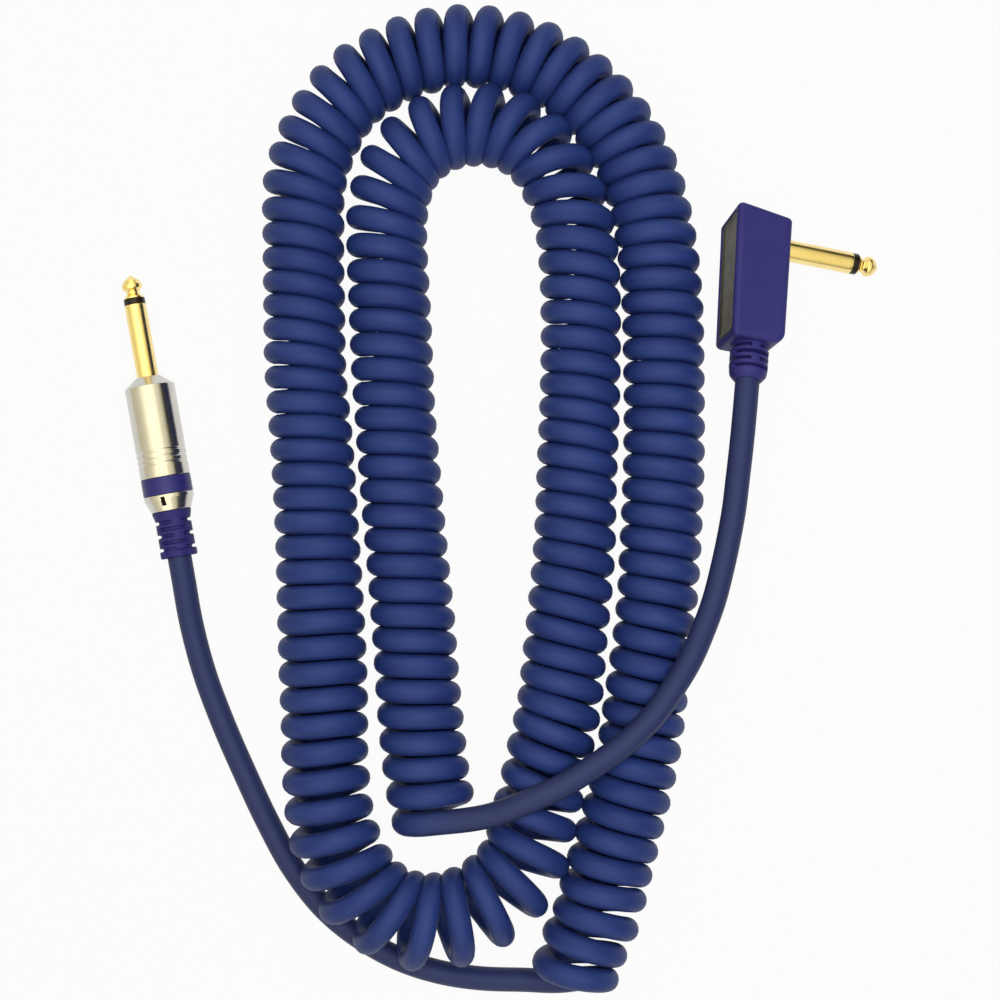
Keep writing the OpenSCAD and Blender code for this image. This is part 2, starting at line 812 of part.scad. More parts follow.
// Points on the smooth curve, about step apart
function smooth(p, step, first, last) = [
    for (i = [0 : len(p) - 2])
        let (n = max(1, round(norm(p[i + 1] - p[i]) / step)))
            for (k = [0 : n - 1])
                cubic(p[i], p[i + 1], chord_slope(p, i, first, last),
                      chord_slope(p, i + 1, first, last), k / n),
    p[len(p) - 1]
];

// Running sum of a list, starting at 0
function running(list) = [
    for (i = 0, sum = 0; i <= len(list); sum = i < len(list) ? sum + list[i] : sum, i = i + 1) sum
];

function steps_of(points) = [for (i = [1 : len(points) - 1]) norm(points[i] - points[i - 1])];

// A bump of height 1 round the bottom bend
function bend_bump(s) = exp(-pow((s - bend_place) / bend_reach, 2));

// Tables of the coil along its axis: [turns, x], [turns, y] and [turns, distance]
function coil_tables() =
    let (axis = smooth(COIL_AXIS, 3, unit(COIL_AXIS[1] - COIL_AXIS[0]),
                       unit(COIL_AXIS[len(COIL_AXIS) - 1] - COIL_AXIS[len(COIL_AXIS) - 2])),
         steps = steps_of(axis),
         distance = running(steps),
         weight = running([for (i = [0 : len(steps) - 1])
                              steps[i] / (1 + loose_pitch * bend_bump(distance[i]))]),
         turns = [for (w = weight) (curl_count + 0.5) * w / weight[len(weight) - 1]])
    [[for (i = [0 : len(axis) - 1]) [turns[i], axis[i].x]],
     [for (i = [0 : len(axis) - 1]) [turns[i], axis[i].y]],
     [for (i = [0 : len(axis) - 1]) [turns[i], distance[i]]]];

function axis_at(tables, turn) = [lookup(turn, tables[0]), lookup(turn, tables[1])];

// Direction across the axis, to the right of the way along it
function side_at(tables, turn) =
    let (ahead = axis_at(tables, min(turn + 0.2, curl_count + 0.5)),
         behind = axis_at(tables, max(turn - 0.2, 0)),
         t = unit(ahead - behind))
    [t.y, -t.x];

// From the coil's axis outwards: down at whole turns, then right, up and left
function spoke_at(tables, turn) =
    let (n = side_at(tables, turn), a = 360 * turn)
    [n.x * sin(a), n.y * sin(a), -cos(a)];

// The middle of the cord after so many turns: the coil lies on the table, and from its first curl on
// it is let down by the flat
function curl_at(tables, turn) =
    let (r = curl_r + loose_curl_r * bend_bump(lookup(turn, tables[2])), c = axis_at(tables, turn))
    [c.x, c.y, r + cord_r - curl_flat * cord_d * min(1, turn)] + r * spoke_at(tables, turn);

function curl_way(tables, turn) =
    unit(curl_at(tables, min(turn + 0.01, curl_count + 0.5)) - curl_at(tables, max(turn - 0.01, 0)));

// A ring of points round the cord's middle, square to way, with a flat side towards out, and cut off
// where it would go below the table
function ring_points(middle, way, out, sides) =
    let (u = unit(out - (out * way) * way), v = cross(way, u))
    [for (k = [0 : sides - 1])
        let (a = 360 * (k + 0.5) / sides, p = middle + cord_r * (u * cos(a) + v * sin(a)))
            [p.x, p.y, max(0, p.z)]];

// A tube through rings of points, with triangles and closed ends
module ring_tube(rings) {
    n = len(rings[0]);
    last = len(rings) - 1;
    polyhedron(
        points = [for (ring = rings) each ring],
        faces = [
            for (k = [1 : n - 2]) [0, k, k + 1],
            for (i = [0 : last - 1])
                for (k = [0 : n - 1])
                    let (a = i * n + k, b = i * n + (k + 1) % n)
                        each [[a, a + n, b], [b, a + n, b + n]],
            for (k = [1 : n - 2]) [last * n, last * n + k + 1, last * n + k]
        ],
        convexity = 10
    );
}

curl_rings = 8;
curl_sides = 6;

// The coil's two ends and the way the cord goes there
function coil_start(tables) = curl_at(tables, 0) - cord_d * curl_way(tables, 0);
function coil_end(tables) =
    curl_at(tables, curl_count + 0.5) + cord_d * curl_way(tables, curl_count + 0.5);

// Least gap of the cord to itself, from points that lie at least half a turn apart
function least_gap(tables) =
    let (per_turn = 12,
         last = floor((curl_count + 0.5) * per_turn),
         p = [for (i = [0 : last]) curl_at(tables, i / per_turn)])
    min([for (i = [0 : last - per_turn / 2])
            min([for (j = [i + per_turn / 2 : last]) norm(p[i] - p[j])])]) - cord_d;

module cord_coil() {
    tables = coil_tables();
    last = (curl_count + 0.5) * curl_rings;
    end_turn = curl_count + 0.5;
    echo(least_gap_mm = least_gap(tables));
    color("midnightblue")
        ring_tube(concat(
            [ring_points(coil_start(tables), curl_way(tables, 0), spoke_at(tables, 0), curl_sides)],
            [for (i = [0 : last])
                let (turn = i / curl_rings)
                    ring_points(curl_at(tables, turn), curl_way(tables, turn), spoke_at(tables, turn),
                                curl_sides)],
            [ring_points(coil_end(tables), curl_way(tables, end_turn), spoke_at(tables, end_turn),
                         curl_sides)]
        ));
}

// A plain tube along a smooth curve, with a ring every two cord diameters
module tail(points, first, last) {
    route = smooth(points, 2 * cord_d, first, last);
    end = len(route) - 1;
    color("midnightblue")
        ring_tube([
            for (i = [0 : end])
                ring_points(route[i],
                            i == 0 ? first : i == end ? last : unit(route[i + 1] - route[i - 1]),
                            [0, 0, 1], cord_sides)
        ]);
}

straight_way = [sin(straight_turn), -cos(straight_turn), 0];
straight_exit = [straight_face.x, straight_face.y, shell_d / 2] + straight_cord_exit * straight_way;
angle_way = angle_turned([0, -1, 0]);
angle_exit = [angle_centre.x, angle_centre.y, angle_height] + angle_turned([0, relief_end, 0]);

module cord_tail_straight() {
    tables = coil_tables();
    tail(concat([straight_exit, straight_exit + 2 * straight_way], STRAIGHT_TAIL, [coil_start(tables)]),
         straight_way, curl_way(tables, 0));
}

module cord_tail_angle() {
    tables = coil_tables();
    tail(concat([coil_end(tables)], ANGLE_TAIL, [angle_exit + 5 * angle_way, angle_exit]),
         curl_way(tables, curl_count + 0.5), -angle_way);
}

straight_tip();
straight_tip_ring();
straight_sleeve();
straight_sleeve_tube();
straight_tip_rod();
straight_insert();
straight_tip_lug();
straight_ground_lug();
straight_collet();
straight_core();
straight_braid();
straight_shell();
straight_colour_ring();
straight_rear_nut();
straight_boot();
straight_cord_end();
angle_tip();
angle_tip_ring();
angle_sleeve();
angle_sleeve_tube();
angle_tip_rod();
angle_housing();
angle_badge();
angle_insert();
angle_tip_lug();
angle_ground_lug();
angle_core();
angle_braid();
angle_cord_end();
cord_tail_straight();
cord_coil();
cord_tail_angle();
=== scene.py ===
"""Finished look of a coiled instrument cable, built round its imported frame.

Two 6.35 mm phone plugs end one curly cord: a straight one with a metal shell, and one that is
moulded at a right angle. Sizes are millimetres in each part's own axes. A Placement brings them
into the frame, in metres, so every object stays at the origin with its place in its mesh.
"""

import json
import logging
from dataclasses import dataclass, field, replace
from enum import Enum

import bpy
import numpy as np
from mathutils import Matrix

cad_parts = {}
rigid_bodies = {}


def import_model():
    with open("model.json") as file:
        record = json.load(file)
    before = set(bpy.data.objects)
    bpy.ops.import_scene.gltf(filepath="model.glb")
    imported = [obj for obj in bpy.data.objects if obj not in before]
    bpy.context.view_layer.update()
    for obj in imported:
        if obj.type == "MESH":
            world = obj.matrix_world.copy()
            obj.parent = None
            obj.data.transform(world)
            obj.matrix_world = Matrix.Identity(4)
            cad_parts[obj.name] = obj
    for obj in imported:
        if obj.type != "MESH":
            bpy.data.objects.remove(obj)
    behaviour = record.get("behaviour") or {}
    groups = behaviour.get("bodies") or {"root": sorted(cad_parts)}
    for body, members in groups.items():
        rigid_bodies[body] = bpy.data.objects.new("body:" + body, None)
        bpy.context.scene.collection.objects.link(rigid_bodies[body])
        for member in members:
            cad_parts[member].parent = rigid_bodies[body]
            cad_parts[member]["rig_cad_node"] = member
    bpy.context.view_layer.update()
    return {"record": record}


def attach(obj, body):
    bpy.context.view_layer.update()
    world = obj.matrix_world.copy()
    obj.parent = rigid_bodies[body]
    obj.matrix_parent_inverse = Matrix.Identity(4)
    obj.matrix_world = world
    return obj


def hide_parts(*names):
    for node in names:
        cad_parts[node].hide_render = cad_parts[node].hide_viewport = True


LOG = logging.getLogger("instrument_cable")
MM = 0.001
# Name of the attribute that says where each point lies in the finish's pattern
OWN_PLACE = "own_place"
# Points nearer to each other than this are one, in millimetres
SAME_POINT = 1e-7
# A point this near to a face lies on it, in millimetres
ON_FACE = 0.01
# Edges sharper than this are shaded sharp, in degrees
SHARP_EDGE = 32.0
# Most values of a noise lie between these
NOISE_RANGE = (0.3, 0.7)
WHITE = (1.0, 1.0, 1.0, 1.0)

Array = np.ndarray
Colour = tuple[float, float, float]
Point = tuple[float, float, float]
Corner = tuple[float, float, float]


# ---- Curves and surfaces ----------------------------------------------------------------------


def unit(vectors: Array) -> Array:
    """Vectors of the same direction and length 1."""
    return vectors / np.linalg.norm(vectors, axis=-1, keepdims=True)


def turn_about(axis: int, degrees: float) -> Array:
    """The matrix that turns points about a main axis.

    Args:
        axis: 0, 1 or 2 for x, y or z.
        degrees: How far, by the right-hand rule.

    Returns:
        A 3 by 3 matrix for column vectors.
    """
    c, s = np.cos(np.radians(degrees)), np.sin(np.radians(degrees))
    matrix = np.eye(3)
    a, b = (axis + 1) % 3, (axis + 2) % 3
    matrix[[a, b, a, b], [a, b, b, a]] = [c, c, -s, s]
    return matrix


def subdivided(counts: Array) -> tuple[Array, Array]:
    """Even places along the pieces of a line.

    Args:
        counts: How many places each piece holds, as integers.

    Returns:
        Each place's piece, and the share of that piece before it, as a column.
    """
    piece = np.repeat(np.arange(len(counts)), counts)
    before = np.repeat(np.cumsum(counts) - counts, counts)
    return piece, ((np.arange(counts.sum()) - before) / counts[piece])[:, None]


def smooth_curve(points: Array, first: Array, last: Array, spacing: float) -> Array:
    """A smooth curve through given points.

    Between two points it is Hermite's cubic. The slope at a point is the mean of its two chords'
    ways, where the shorter chord counts more.

    Args:
        points: The points, one per row.
        first: The slope at the first point, of length 1.
        last: The slope at the last point, of length 1.
        spacing: About how far apart the new points lie.

    Returns:
        The curve's points, one per row.
    """
    chords = np.diff(points, axis=0)
    lengths = np.linalg.norm(chords, axis=1, keepdims=True)
    ways = chords / lengths
    inner = (ways[:-1] * lengths[1:] + ways[1:] * lengths[:-1]) / (lengths[:-1] + lengths[1:])
    slopes = np.vstack([first, inner, last])
    i, t = subdivided(np.maximum(1, np.round(lengths[:, 0] / spacing)).astype(int))
    curve = (
        (2 * t**3 - 3 * t**2 + 1) * points[i]
        + (t**3 - 2 * t**2 + t) * lengths[i] * slopes[i]
        + (3 * t**2 - 2 * t**3) * points[i + 1]
        + (t**3 - t**2) * lengths[i] * slopes[i + 1]
    )
    return np.vstack([curve, points[-1]])


def distance_along(line: Array) -> Array:
    """The distance from a line's first point to each of its points, along the line."""
    return np.concatenate([[0.0], np.cumsum(np.linalg.norm(np.diff(line, axis=0), axis=1))])


def evenly(line: Array, spacing: float) -> Array:
    """The same line with points an even distance apart, about spacing."""
    along = distance_along(line)
    at = np.linspace(0, along[-1], max(2, round(along[-1] / spacing) + 1))
    return np.stack([np.interp(at, along, column) for column in line.T], axis=1)


def soften(values: Array, reach: int) -> Array:
    """A running mean of values, weighted by a bell that is reach steps wide each way."""
    bell = np.exp(-((np.arange(-2 * reach, 2 * reach + 1) / reach) ** 2))
    padded = np.pad(values, 2 * reach, mode="reflect", reflect_type="odd")
    return np.convolve(padded, bell / bell.sum(), mode="valid")


def step_up(x: Array, edge: float, width: float) -> Array:
    """A smooth step from 0 to 1, centred on edge: 3t² - 2t³ over the width."""
    t = np.clip((x - edge) / width + 0.5, 0, 1)
    return t * t * (3 - 2 * t)


def window(x: Array, low: float, high: float, width: float) -> Array:
    """1 between low and high and 0 outside, with smooth steps of that width at both."""
    return step_up(x, low, width) * (1 - step_up(x, high, width))


def within(x: Array, middle: float, size: float, width: float) -> Array:
    """The window of that size about a middle."""
    return window(x, middle - size / 2, middle + size / 2, width)


def angle_from(angle: Array, degrees: float) -> Array:
    """How far angles in radians lie past a direction in degrees, from -π to π."""
    return np.angle(np.exp(1j * (angle - np.radians(degrees))))


def sector(angle: Array, middle: float, sweep: float, width: float) -> Array:
    """The window of angles round an axis.

    Args:
        angle: The angles, in radians.
        middle: The direction of the window's middle, in degrees.
        sweep: The window's size, in degrees.
        width: The width of its smooth steps, in radians.

    Returns:
        1 within the window and 0 outside.
    """
    return within(angle_from(angle, middle), 0.0, np.radians(sweep), width)


def rounded_line(corners: list[Corner], spacing: float, closed: bool, steps: int = 5) -> Array:
    """A line through corners, with each corner replaced by an arc.

    Args:
        corners: Each corner's two coordinates and the radius of its rounding.
        spacing: The longest straight step, in millimetres.
        closed: Whether the last corner joins the first. The ends of an open line aren't rounded.
        steps: Steps in each arc.

    Returns:
        The points, one per row.
    """
    count = len(corners)
    places = np.array([corner[:2] for corner in corners])
    pieces = []
    for i, (x, y, radius) in enumerate(corners):
        here = np.array([x, y])
        if radius == 0 or (not closed and i in (0, count - 1)):
            pieces.append(here[None])
            continue
        back, ahead = places[i - 1] - here, places[(i + 1) % count] - here
        u, w = unit(back), unit(ahead)
        half = np.arccos(np.clip(u @ w, -1, 1)) / 2
        # Both ends of a side may be rounded, so an arc takes less than half of it
        most = 0.48 * min(np.linalg.norm(back), np.linalg.norm(ahead))
        reach = min(radius / np.tan(half), most)
        radius = reach * np.tan(half)
        middle = here + unit(u + w) * radius / np.sin(half)
        sweep = np.pi - 2 * half
        share = np.linspace(0, 1, steps + 1)[:, None]
        start, end = here + u * reach - middle, here + w * reach - middle
        arc = (start * np.sin(sweep * (1 - share)) + end * np.sin(sweep * share)) / np.sin(sweep)
        pieces.append(middle + arc)
    line = np.vstack(pieces)
    if closed:
        line = np.vstack([line, line[:1]])
    lengths = np.linalg.norm(np.diff(line, axis=0), axis=1)
    line, lengths = line[np.r_[True, lengths > SAME_POINT]], lengths[lengths > SAME_POINT]
    i, t = subdivided(np.maximum(1, np.ceil(lengths / spacing)).astype(int))
    fine = line[i] + (line[i + 1] - line[i]) * t
    return fine if closed else np.vstack([fine, line[-1]])


def inward(outline: Array) -> Array:
    """The unit vectors that point into a closed anticlockwise outline, one per point."""
    way = unit(np.roll(outline, -1, 0) - np.roll(outline, 1, 0))
    return np.stack([-way[:, 1], way[:, 0]], axis=1)


@dataclass
class Surface:
    """A closed surface in a part's own axes, in millimetres.

    Attributes:
        points: One point per row.
        quads: Four point numbers per row, anticlockwise seen from outside.
        triangles: Three point numbers per row.
    """

    points: Array
    quads: Array
    triangles: Array

    def joined(self, other: "Surface") -> "Surface":
        """This surface and another as one."""
        shift = len(self.points)
        return Surface(
            np.vstack([self.points, other.points]),
            np.vstack([self.quads, other.quads + shift]),
            np.vstack([self.triangles, other.triangles + shift]),
        )


def woven(grid: Array, wrap_rows: bool) -> Surface:
    """A surface over a grid of points whose columns go all the way round.

    The faces join each row to the next. A row whose points all coincide becomes one point, a pole,
    with triangles round it.

    Args:
        grid: Points as (rows, columns, 3). Seen from outside, rows go up and columns go right.
        wrap_rows: Whether the last row joins the first.

    Returns:
        The surface.
    """
    rows, columns, _ = grid.shape
    pole = np.ptp(grid, axis=1).max(axis=1) < SAME_POINT
    sizes = np.where(pole, 1, columns)
    starts = np.cumsum(sizes) - sizes
    index = starts[:, None] + np.where(pole[:, None], 0, np.arange(columns))
    points = np.vstack([row[:size] for row, size in zip(grid, sizes)])
    if wrap_rows:
        index = np.vstack([index, index[:1]])
    low, high = index[:-1], index[1:]
    faces = np.stack([low, np.roll(low, -1, 1), np.roll(high, -1, 1), high], axis=-1).reshape(-1, 4)
    at_low, at_high = faces[:, 0] == faces[:, 1], faces[:, 2] == faces[:, 3]
    triangles = np.vstack([faces[at_low][:, [0, 2, 3]], faces[at_high][:, [0, 1, 2]]])
    return Surface(points, faces[~(at_low | at_high)], triangles)


def revolved(profile: Array, sides: int) -> tuple[Array, Array, Array]:
    """A profile turned about z, as grids of angle, radius and height.

    Args:
        profile: Radius and height of each point.
        sides: Points round the axis.

    Returns:
        Angle in radians, radius and height, each as (rows, sides).
    """
    angle = np.linspace(0, 2 * np.pi, sides, endpoint=False)
    return np.meshgrid(angle, profile[:, 0])[0], *(
        np.repeat(profile[:, k : k + 1], sides, axis=1) for k in (0, 1)
    )


def round_grid(angle: Array, radius: Array, height: Array) -> Array:
    """Points at (radius·cos angle, radius·sin angle, height)."""
    return np.stack([radius * np.cos(angle), radius * np.sin(angle), height], axis=-1)


def lathe(profile: Array, sides: int, closed: bool) -> Surface:
    """A profile turned about z.

    Args:
        profile: Radius and height of each point, with the body to the left of the way along it.
        sides: Points round the axis.
        closed: Whether the profile is a loop, as round a bore, or ends on the axis.

    Returns:
        The surface.
    """
    return woven(round_grid(*revolved(profile, sides)), wrap_rows=closed)


def tube(line: Array, out: Array, press: Array, radius: float, sides: int) -> tuple[Surface, Array]:
    """A round tube along a line, with rounded-off flat ends.

    Ring k lies square to the line at its point k, at middle + radius·(cos a·u + sin a·v), where u is
    out with its share along the line taken away and v is square to both.

    Args:
        line: The tube's middle, one point per row.
        out: A direction per point, which sets where a ring starts.
        press: A vector per point. A ring's spoke s there becomes s - (s·press)·press, which is
            thinner along press by the share of its length squared.
        radius: The tube's radius.
        sides: Points round the tube.

    Returns:
        The surface, and each of its points in the cord's straightened place: the same tube laid
        straight along z.
    """
    way = unit(np.gradient(line, axis=0))
    u = unit(out - (out * way).sum(axis=1, keepdims=True) * way)
    v = np.cross(way, u)
    angle = np.linspace(0, 2 * np.pi, sides, endpoint=False)[None, :, None]
    spokes = np.cos(angle) * u[:, None] + np.sin(angle) * v[:, None]
    spokes = spokes - (spokes * press[:, None]).sum(axis=2, keepdims=True) * press[:, None]

    # An end's rings from its middle to the tube: how wide they are, and how far in from the end
    cap_size, cap_inset = np.array([0.0, 0.86, 0.97, 1.0]), np.array([0.0, 0.0, 0.035, 0.07])
    more, between = [0] * (len(cap_size) - 1), np.ones(len(line) - 2)
    ring = np.concatenate([more, np.arange(len(line)), np.add(more, len(line) - 1)])
    size = radius * np.concatenate([cap_size, between, cap_size[::-1]])[:, None, None]
    inset = radius * np.concatenate([cap_inset, 0 * between, -cap_inset[::-1]])[:, None]
    middle = line[ring] + inset * way[ring]
    circle = np.concatenate([np.cos(angle), np.sin(angle), 0 * angle], axis=2)
    straight = size * circle + distance_along(line)[ring][:, None, None] * np.array([0, 0, 1])
    surface = woven(middle[:, None] + size * spokes[ring], wrap_rows=False)
    return surface, woven(straight, wrap_rows=False).points


@dataclass(frozen=True)
class Placement:
    """Where a part's own axes lie in the frame, in millimetres.

    Attributes:
        origin: The part's origin.
        matrix: Its x, y and z ways as columns.
    """

    origin: Array
    matrix: Array

    def to_frame(self, points: Array) -> Array:
        """Points of the part as points of the frame."""
        return self.origin + points @ self.matrix.T

    def turned(self, matrix: Array) -> "Placement":
        """The same origin with axes turned within the part."""
        return Placement(self.origin, self.matrix @ matrix)

    def moved(self, shift: Point) -> "Placement":
        """The same axes with the origin moved within the part."""
        return Placement(self.to_frame(np.array(shift, float)), self.matrix)


AS_FRAME = Placement(np.zeros(3), np.eye(3))


def new_object(name: str, data: bpy.types.ID) -> bpy.types.Object:
    """A new object in the scene, at the origin."""
    made = bpy.data.objects.new(name, data)
    bpy.context.scene.collection.objects.link(made)
    return made


def make_object(
    name: str, surface: Surface, place: Placement, own: Array | None = None
) -> bpy.types.Object:
    """A mesh object at the origin, with its place in its mesh.

    Args:
        name: The piece's name.
        surface: Its shape in its own axes.
        place: Where those axes are.
        own: Each point's place for the material's pattern, or None for its place in its own axes.

    Returns:
        The object, smooth except along its sharp edges.
    """
    mesh = bpy.data.meshes.new(name)
    faces = [*surface.quads.tolist(), *surface.triangles.tolist()]
    mesh.from_pydata((place.to_frame(surface.points) * MM).tolist(), [], faces)
    mesh.validate()
    layer = mesh.attributes.new(OWN_PLACE, "FLOAT_VECTOR", "POINT")
    places = surface.points if own is None else own
    layer.data.foreach_set("vector", places.astype(np.float32).ravel())
    mesh.shade_smooth()
    mesh.set_sharp_from_angle(angle=np.radians(SHARP_EDGE))
    return new_object(name, mesh)


# ---- Finishes ---------------------------------------------------------------------------------


def linear(red: int, green: int, blue: int) -> Colour:
    """An sRGB colour of 0 to 255 as linear light."""
    share = np.array([red, green, blue]) / 255
    light = np.where(share <= 0.04045, share / 12.92, ((share + 0.055) / 1.055) ** 2.4)
    return tuple(float(x) for x in light)


class Pattern(Enum):
    """What a finish's pattern follows."""

    OWN = "the piece's own place, in millimetres"
    FRAME = "the frame"


Socket = bpy.types.NodeSocket
Value = Socket | float | tuple[float, ...]


def add_node(
    tree: bpy.types.NodeTree, kind: str, inputs: dict[str | int, Value], **settings: str
) -> bpy.types.Node:
    """Adds a node to a material or to the world.

    Args:
        tree: The tree of nodes.
        kind: The node's type, without the word ShaderNode in front.
        inputs: Names or numbers of inputs, each with the socket that feeds it or with its value.
        settings: The node's own settings, which come before its inputs.

    Returns:
        The node.
    """
    node = tree.nodes.new(f"ShaderNode{kind}")
    for name, setting in settings.items():
        setattr(node, name, setting)
    for name, value in inputs.items():
        if isinstance(value, Socket):
            tree.links.new(value, node.inputs[name])
        else:
            node.inputs[name].default_value = value
    return node


class Nodes:
    """The nodes of one material, with short ways to add and join them."""

    def __init__(self, name: str, pattern: Pattern) -> None:
        """A new material with a Principled shader, and the coordinates that its pattern follows."""
        self.material = bpy.data.materials.new(name)
        self.material.use_nodes = True
        self.tree = self.material.node_tree
        self.shader = self.tree.nodes["Principled BSDF"]
        if pattern is Pattern.OWN:
            source = add_node(self.tree, "Attribute", {}, attribute_name=OWN_PLACE)
            self.place = source.outputs["Vector"]
        else:
            source = add_node(self.tree, "TexCoord", {})
            self.place = self.scaled(source.outputs["Object"], (1 / MM,) * 3)

    def scaled(self, vector: Socket, scale: Point) -> Socket:
        """The vector with each of its three numbers multiplied by one of scale."""
        return add_node(self.tree, "Mapping", {"Vector": vector, "Scale": scale}).outputs["Vector"]

    def noise(self, per_mm: Point, detail: float, rough: float = 0.55) -> Socket:
        """A cloudy pattern.

        Args:
            per_mm: How many lumps there are in a millimetre, along each axis.
            detail: How many finer layers it has.
            rough: How strong the finer layers are.

        Returns:
            Its value, mostly within NOISE_RANGE.
        """
        place = self.scaled(self.place, per_mm)
        inputs = {"Vector": place, "Scale": 1.0, "Detail": detail, "Roughness": rough}
        return add_node(self.tree, "TexNoise", inputs).outputs["Fac"]

    def remapped(self, value: Socket, old: tuple[float, float], new: tuple[float, float]) -> Socket:
        """A value with one range carried over to another, and held at its ends beyond it."""
        names = ("From Min", "From Max", "To Min", "To Max")
        inputs = {"Value": value, **dict(zip(names, (*old, *new)))}
        return add_node(self.tree, "MapRange", inputs).outputs["Result"]

    def spread(self, value: Socket, low: float, high: float) -> Socket:
        """A noise's value as a value from low to high."""
        return self.remapped(value, NOISE_RANGE, (low, high))

    def step(self, value: Socket, zero: float, one: float) -> Socket:
        """0 where the value is at zero or beyond it, 1 at one or beyond, and even between."""
        return self.remapped(value, (zero, one), (0.0, 1.0))

    def mixed(self, share: Socket, first: Colour | Socket, second: Colour) -> Socket:
        """A mix of two colours by a share from 0 to 1. The first may be another node's colour."""
        start = (*first, 1.0) if isinstance(first, tuple) else first
        inputs = {"Factor": share, "A": start, "B": (*second, 1.0)}
        return add_node(self.tree, "Mix", inputs, data_type="RGBA").outputs["Result"]

    def third(self, vector: Socket) -> Socket:
        """The vector's z."""
        return add_node(self.tree, "SeparateXYZ", {"Vector": vector}).outputs["Z"]

    def from_axis(self) -> Socket:
        """The pattern's distance from its z axis."""
        across = self.scaled(self.place, (1.0, 1.0, 0.0))
        return add_node(self.tree, "VectorMath", {0: across}, operation="LENGTH").outputs["Value"]

    def either(self, first: Socket, second: Socket) -> Socket:
        """The larger of two values."""
        return add_node(self.tree, "Math", {0: first, 1: second}, operation="MAXIMUM").outputs["Value"]

    def dents(self, heights: list[tuple[Socket, float]]) -> None:
        """Bumps on the shader's normal, each with its depth in millimetres, one on the next."""
        below = {}
        for height, depth in heights:
            inputs = {"Strength": 1.0, "Distance": depth * MM, "Height": height, **below}
            below = {"Normal": add_node(self.tree, "Bump", inputs).outputs["Normal"]}
        self.feed("Normal", below["Normal"])

    def feed(self, name: str, socket: Socket) -> None:
        """Joins a pattern to one of the shader's inputs."""
        self.tree.links.new(socket, self.shader.inputs[name])

    def fix(self, name: str, value: float | tuple[float, ...]) -> None:
        """Sets one of the shader's inputs to a constant."""
        self.shader.inputs[name].default_value = value


@dataclass(frozen=True)
class Moulded:
    """A moulded or extruded plastic or rubber.

    Attributes:
        name: The material's name.
        slot: The record's slot.
        shade: The colour where it is darkest.
        light: The colour where it is lightest.
        roughness: The least and the most.
        grain: Depth of the fine surface grain, in millimetres.
        grain_per_mm: Grains in a millimetre, along each of the pattern's axes.
        cloud_per_mm: Lumps of the slow change of colour, in the same way.
        specular: How strong its mirror-like reflection is, where 0.5 is common.
        pattern: What the pattern follows.
    """

    name: str
    slot: str
    shade: Colour
    light: Colour
    roughness: tuple[float, float] = (0.4, 0.52)
    grain: float = 0.012
    grain_per_mm: Point = (4.0, 4.0, 4.0)
    cloud_per_mm: Point = (0.12, 0.12, 0.12)
    specular: float = 0.27
    pattern: Pattern = Pattern.OWN

    def colour(self, nodes: Nodes, cloud: Socket) -> Socket:
        """The colour all over the piece, which follows the slow pattern."""
        return nodes.mixed(nodes.spread(cloud, 0.0, 1.0), self.shade, self.light)

    def material(self) -> bpy.types.Material:
        """Builds the material."""
        nodes = Nodes(self.name, self.pattern)
        cloud = nodes.noise(self.cloud_per_mm, detail=4.0)
        grain = nodes.noise(self.grain_per_mm, detail=2.0)
        nodes.feed("Base Color", self.colour(nodes, cloud))
        nodes.feed("Roughness", nodes.spread(grain, *self.roughness))
        nodes.fix("Specular IOR Level", self.specular)
        nodes.dents([(cloud, 2 * self.grain), (grain, self.grain)])
        return nodes.material


@dataclass(frozen=True)
class CordJacket(Moulded):
    """The jacket of a curly cord, whose straight tails are coloured greyer than its curls.

    Attributes:
        tail: The tails' colour.
        first_tail: Length of the tail at the start, in millimetres.
        last_tail: Where along the cord the other tail begins.
        blend: How far each way the colours run into each other.
    """

    tail: Colour = (0.0, 0.0, 0.0)
    first_tail: float = 0.0
    last_tail: float = 0.0
    blend: float = 12.0

    def colour(self, nodes: Nodes, cloud: Socket) -> Socket:
        """The curls' colour between the tails, and the tails' colour along them."""
        along = nodes.third(nodes.place)
        in_tails = nodes.either(
            nodes.step(along, self.first_tail + self.blend, self.first_tail - self.blend),
            nodes.step(along, self.last_tail - self.blend, self.last_tail + self.blend),
        )
        return nodes.mixed(in_tails, super().colour(nodes, cloud), self.tail)


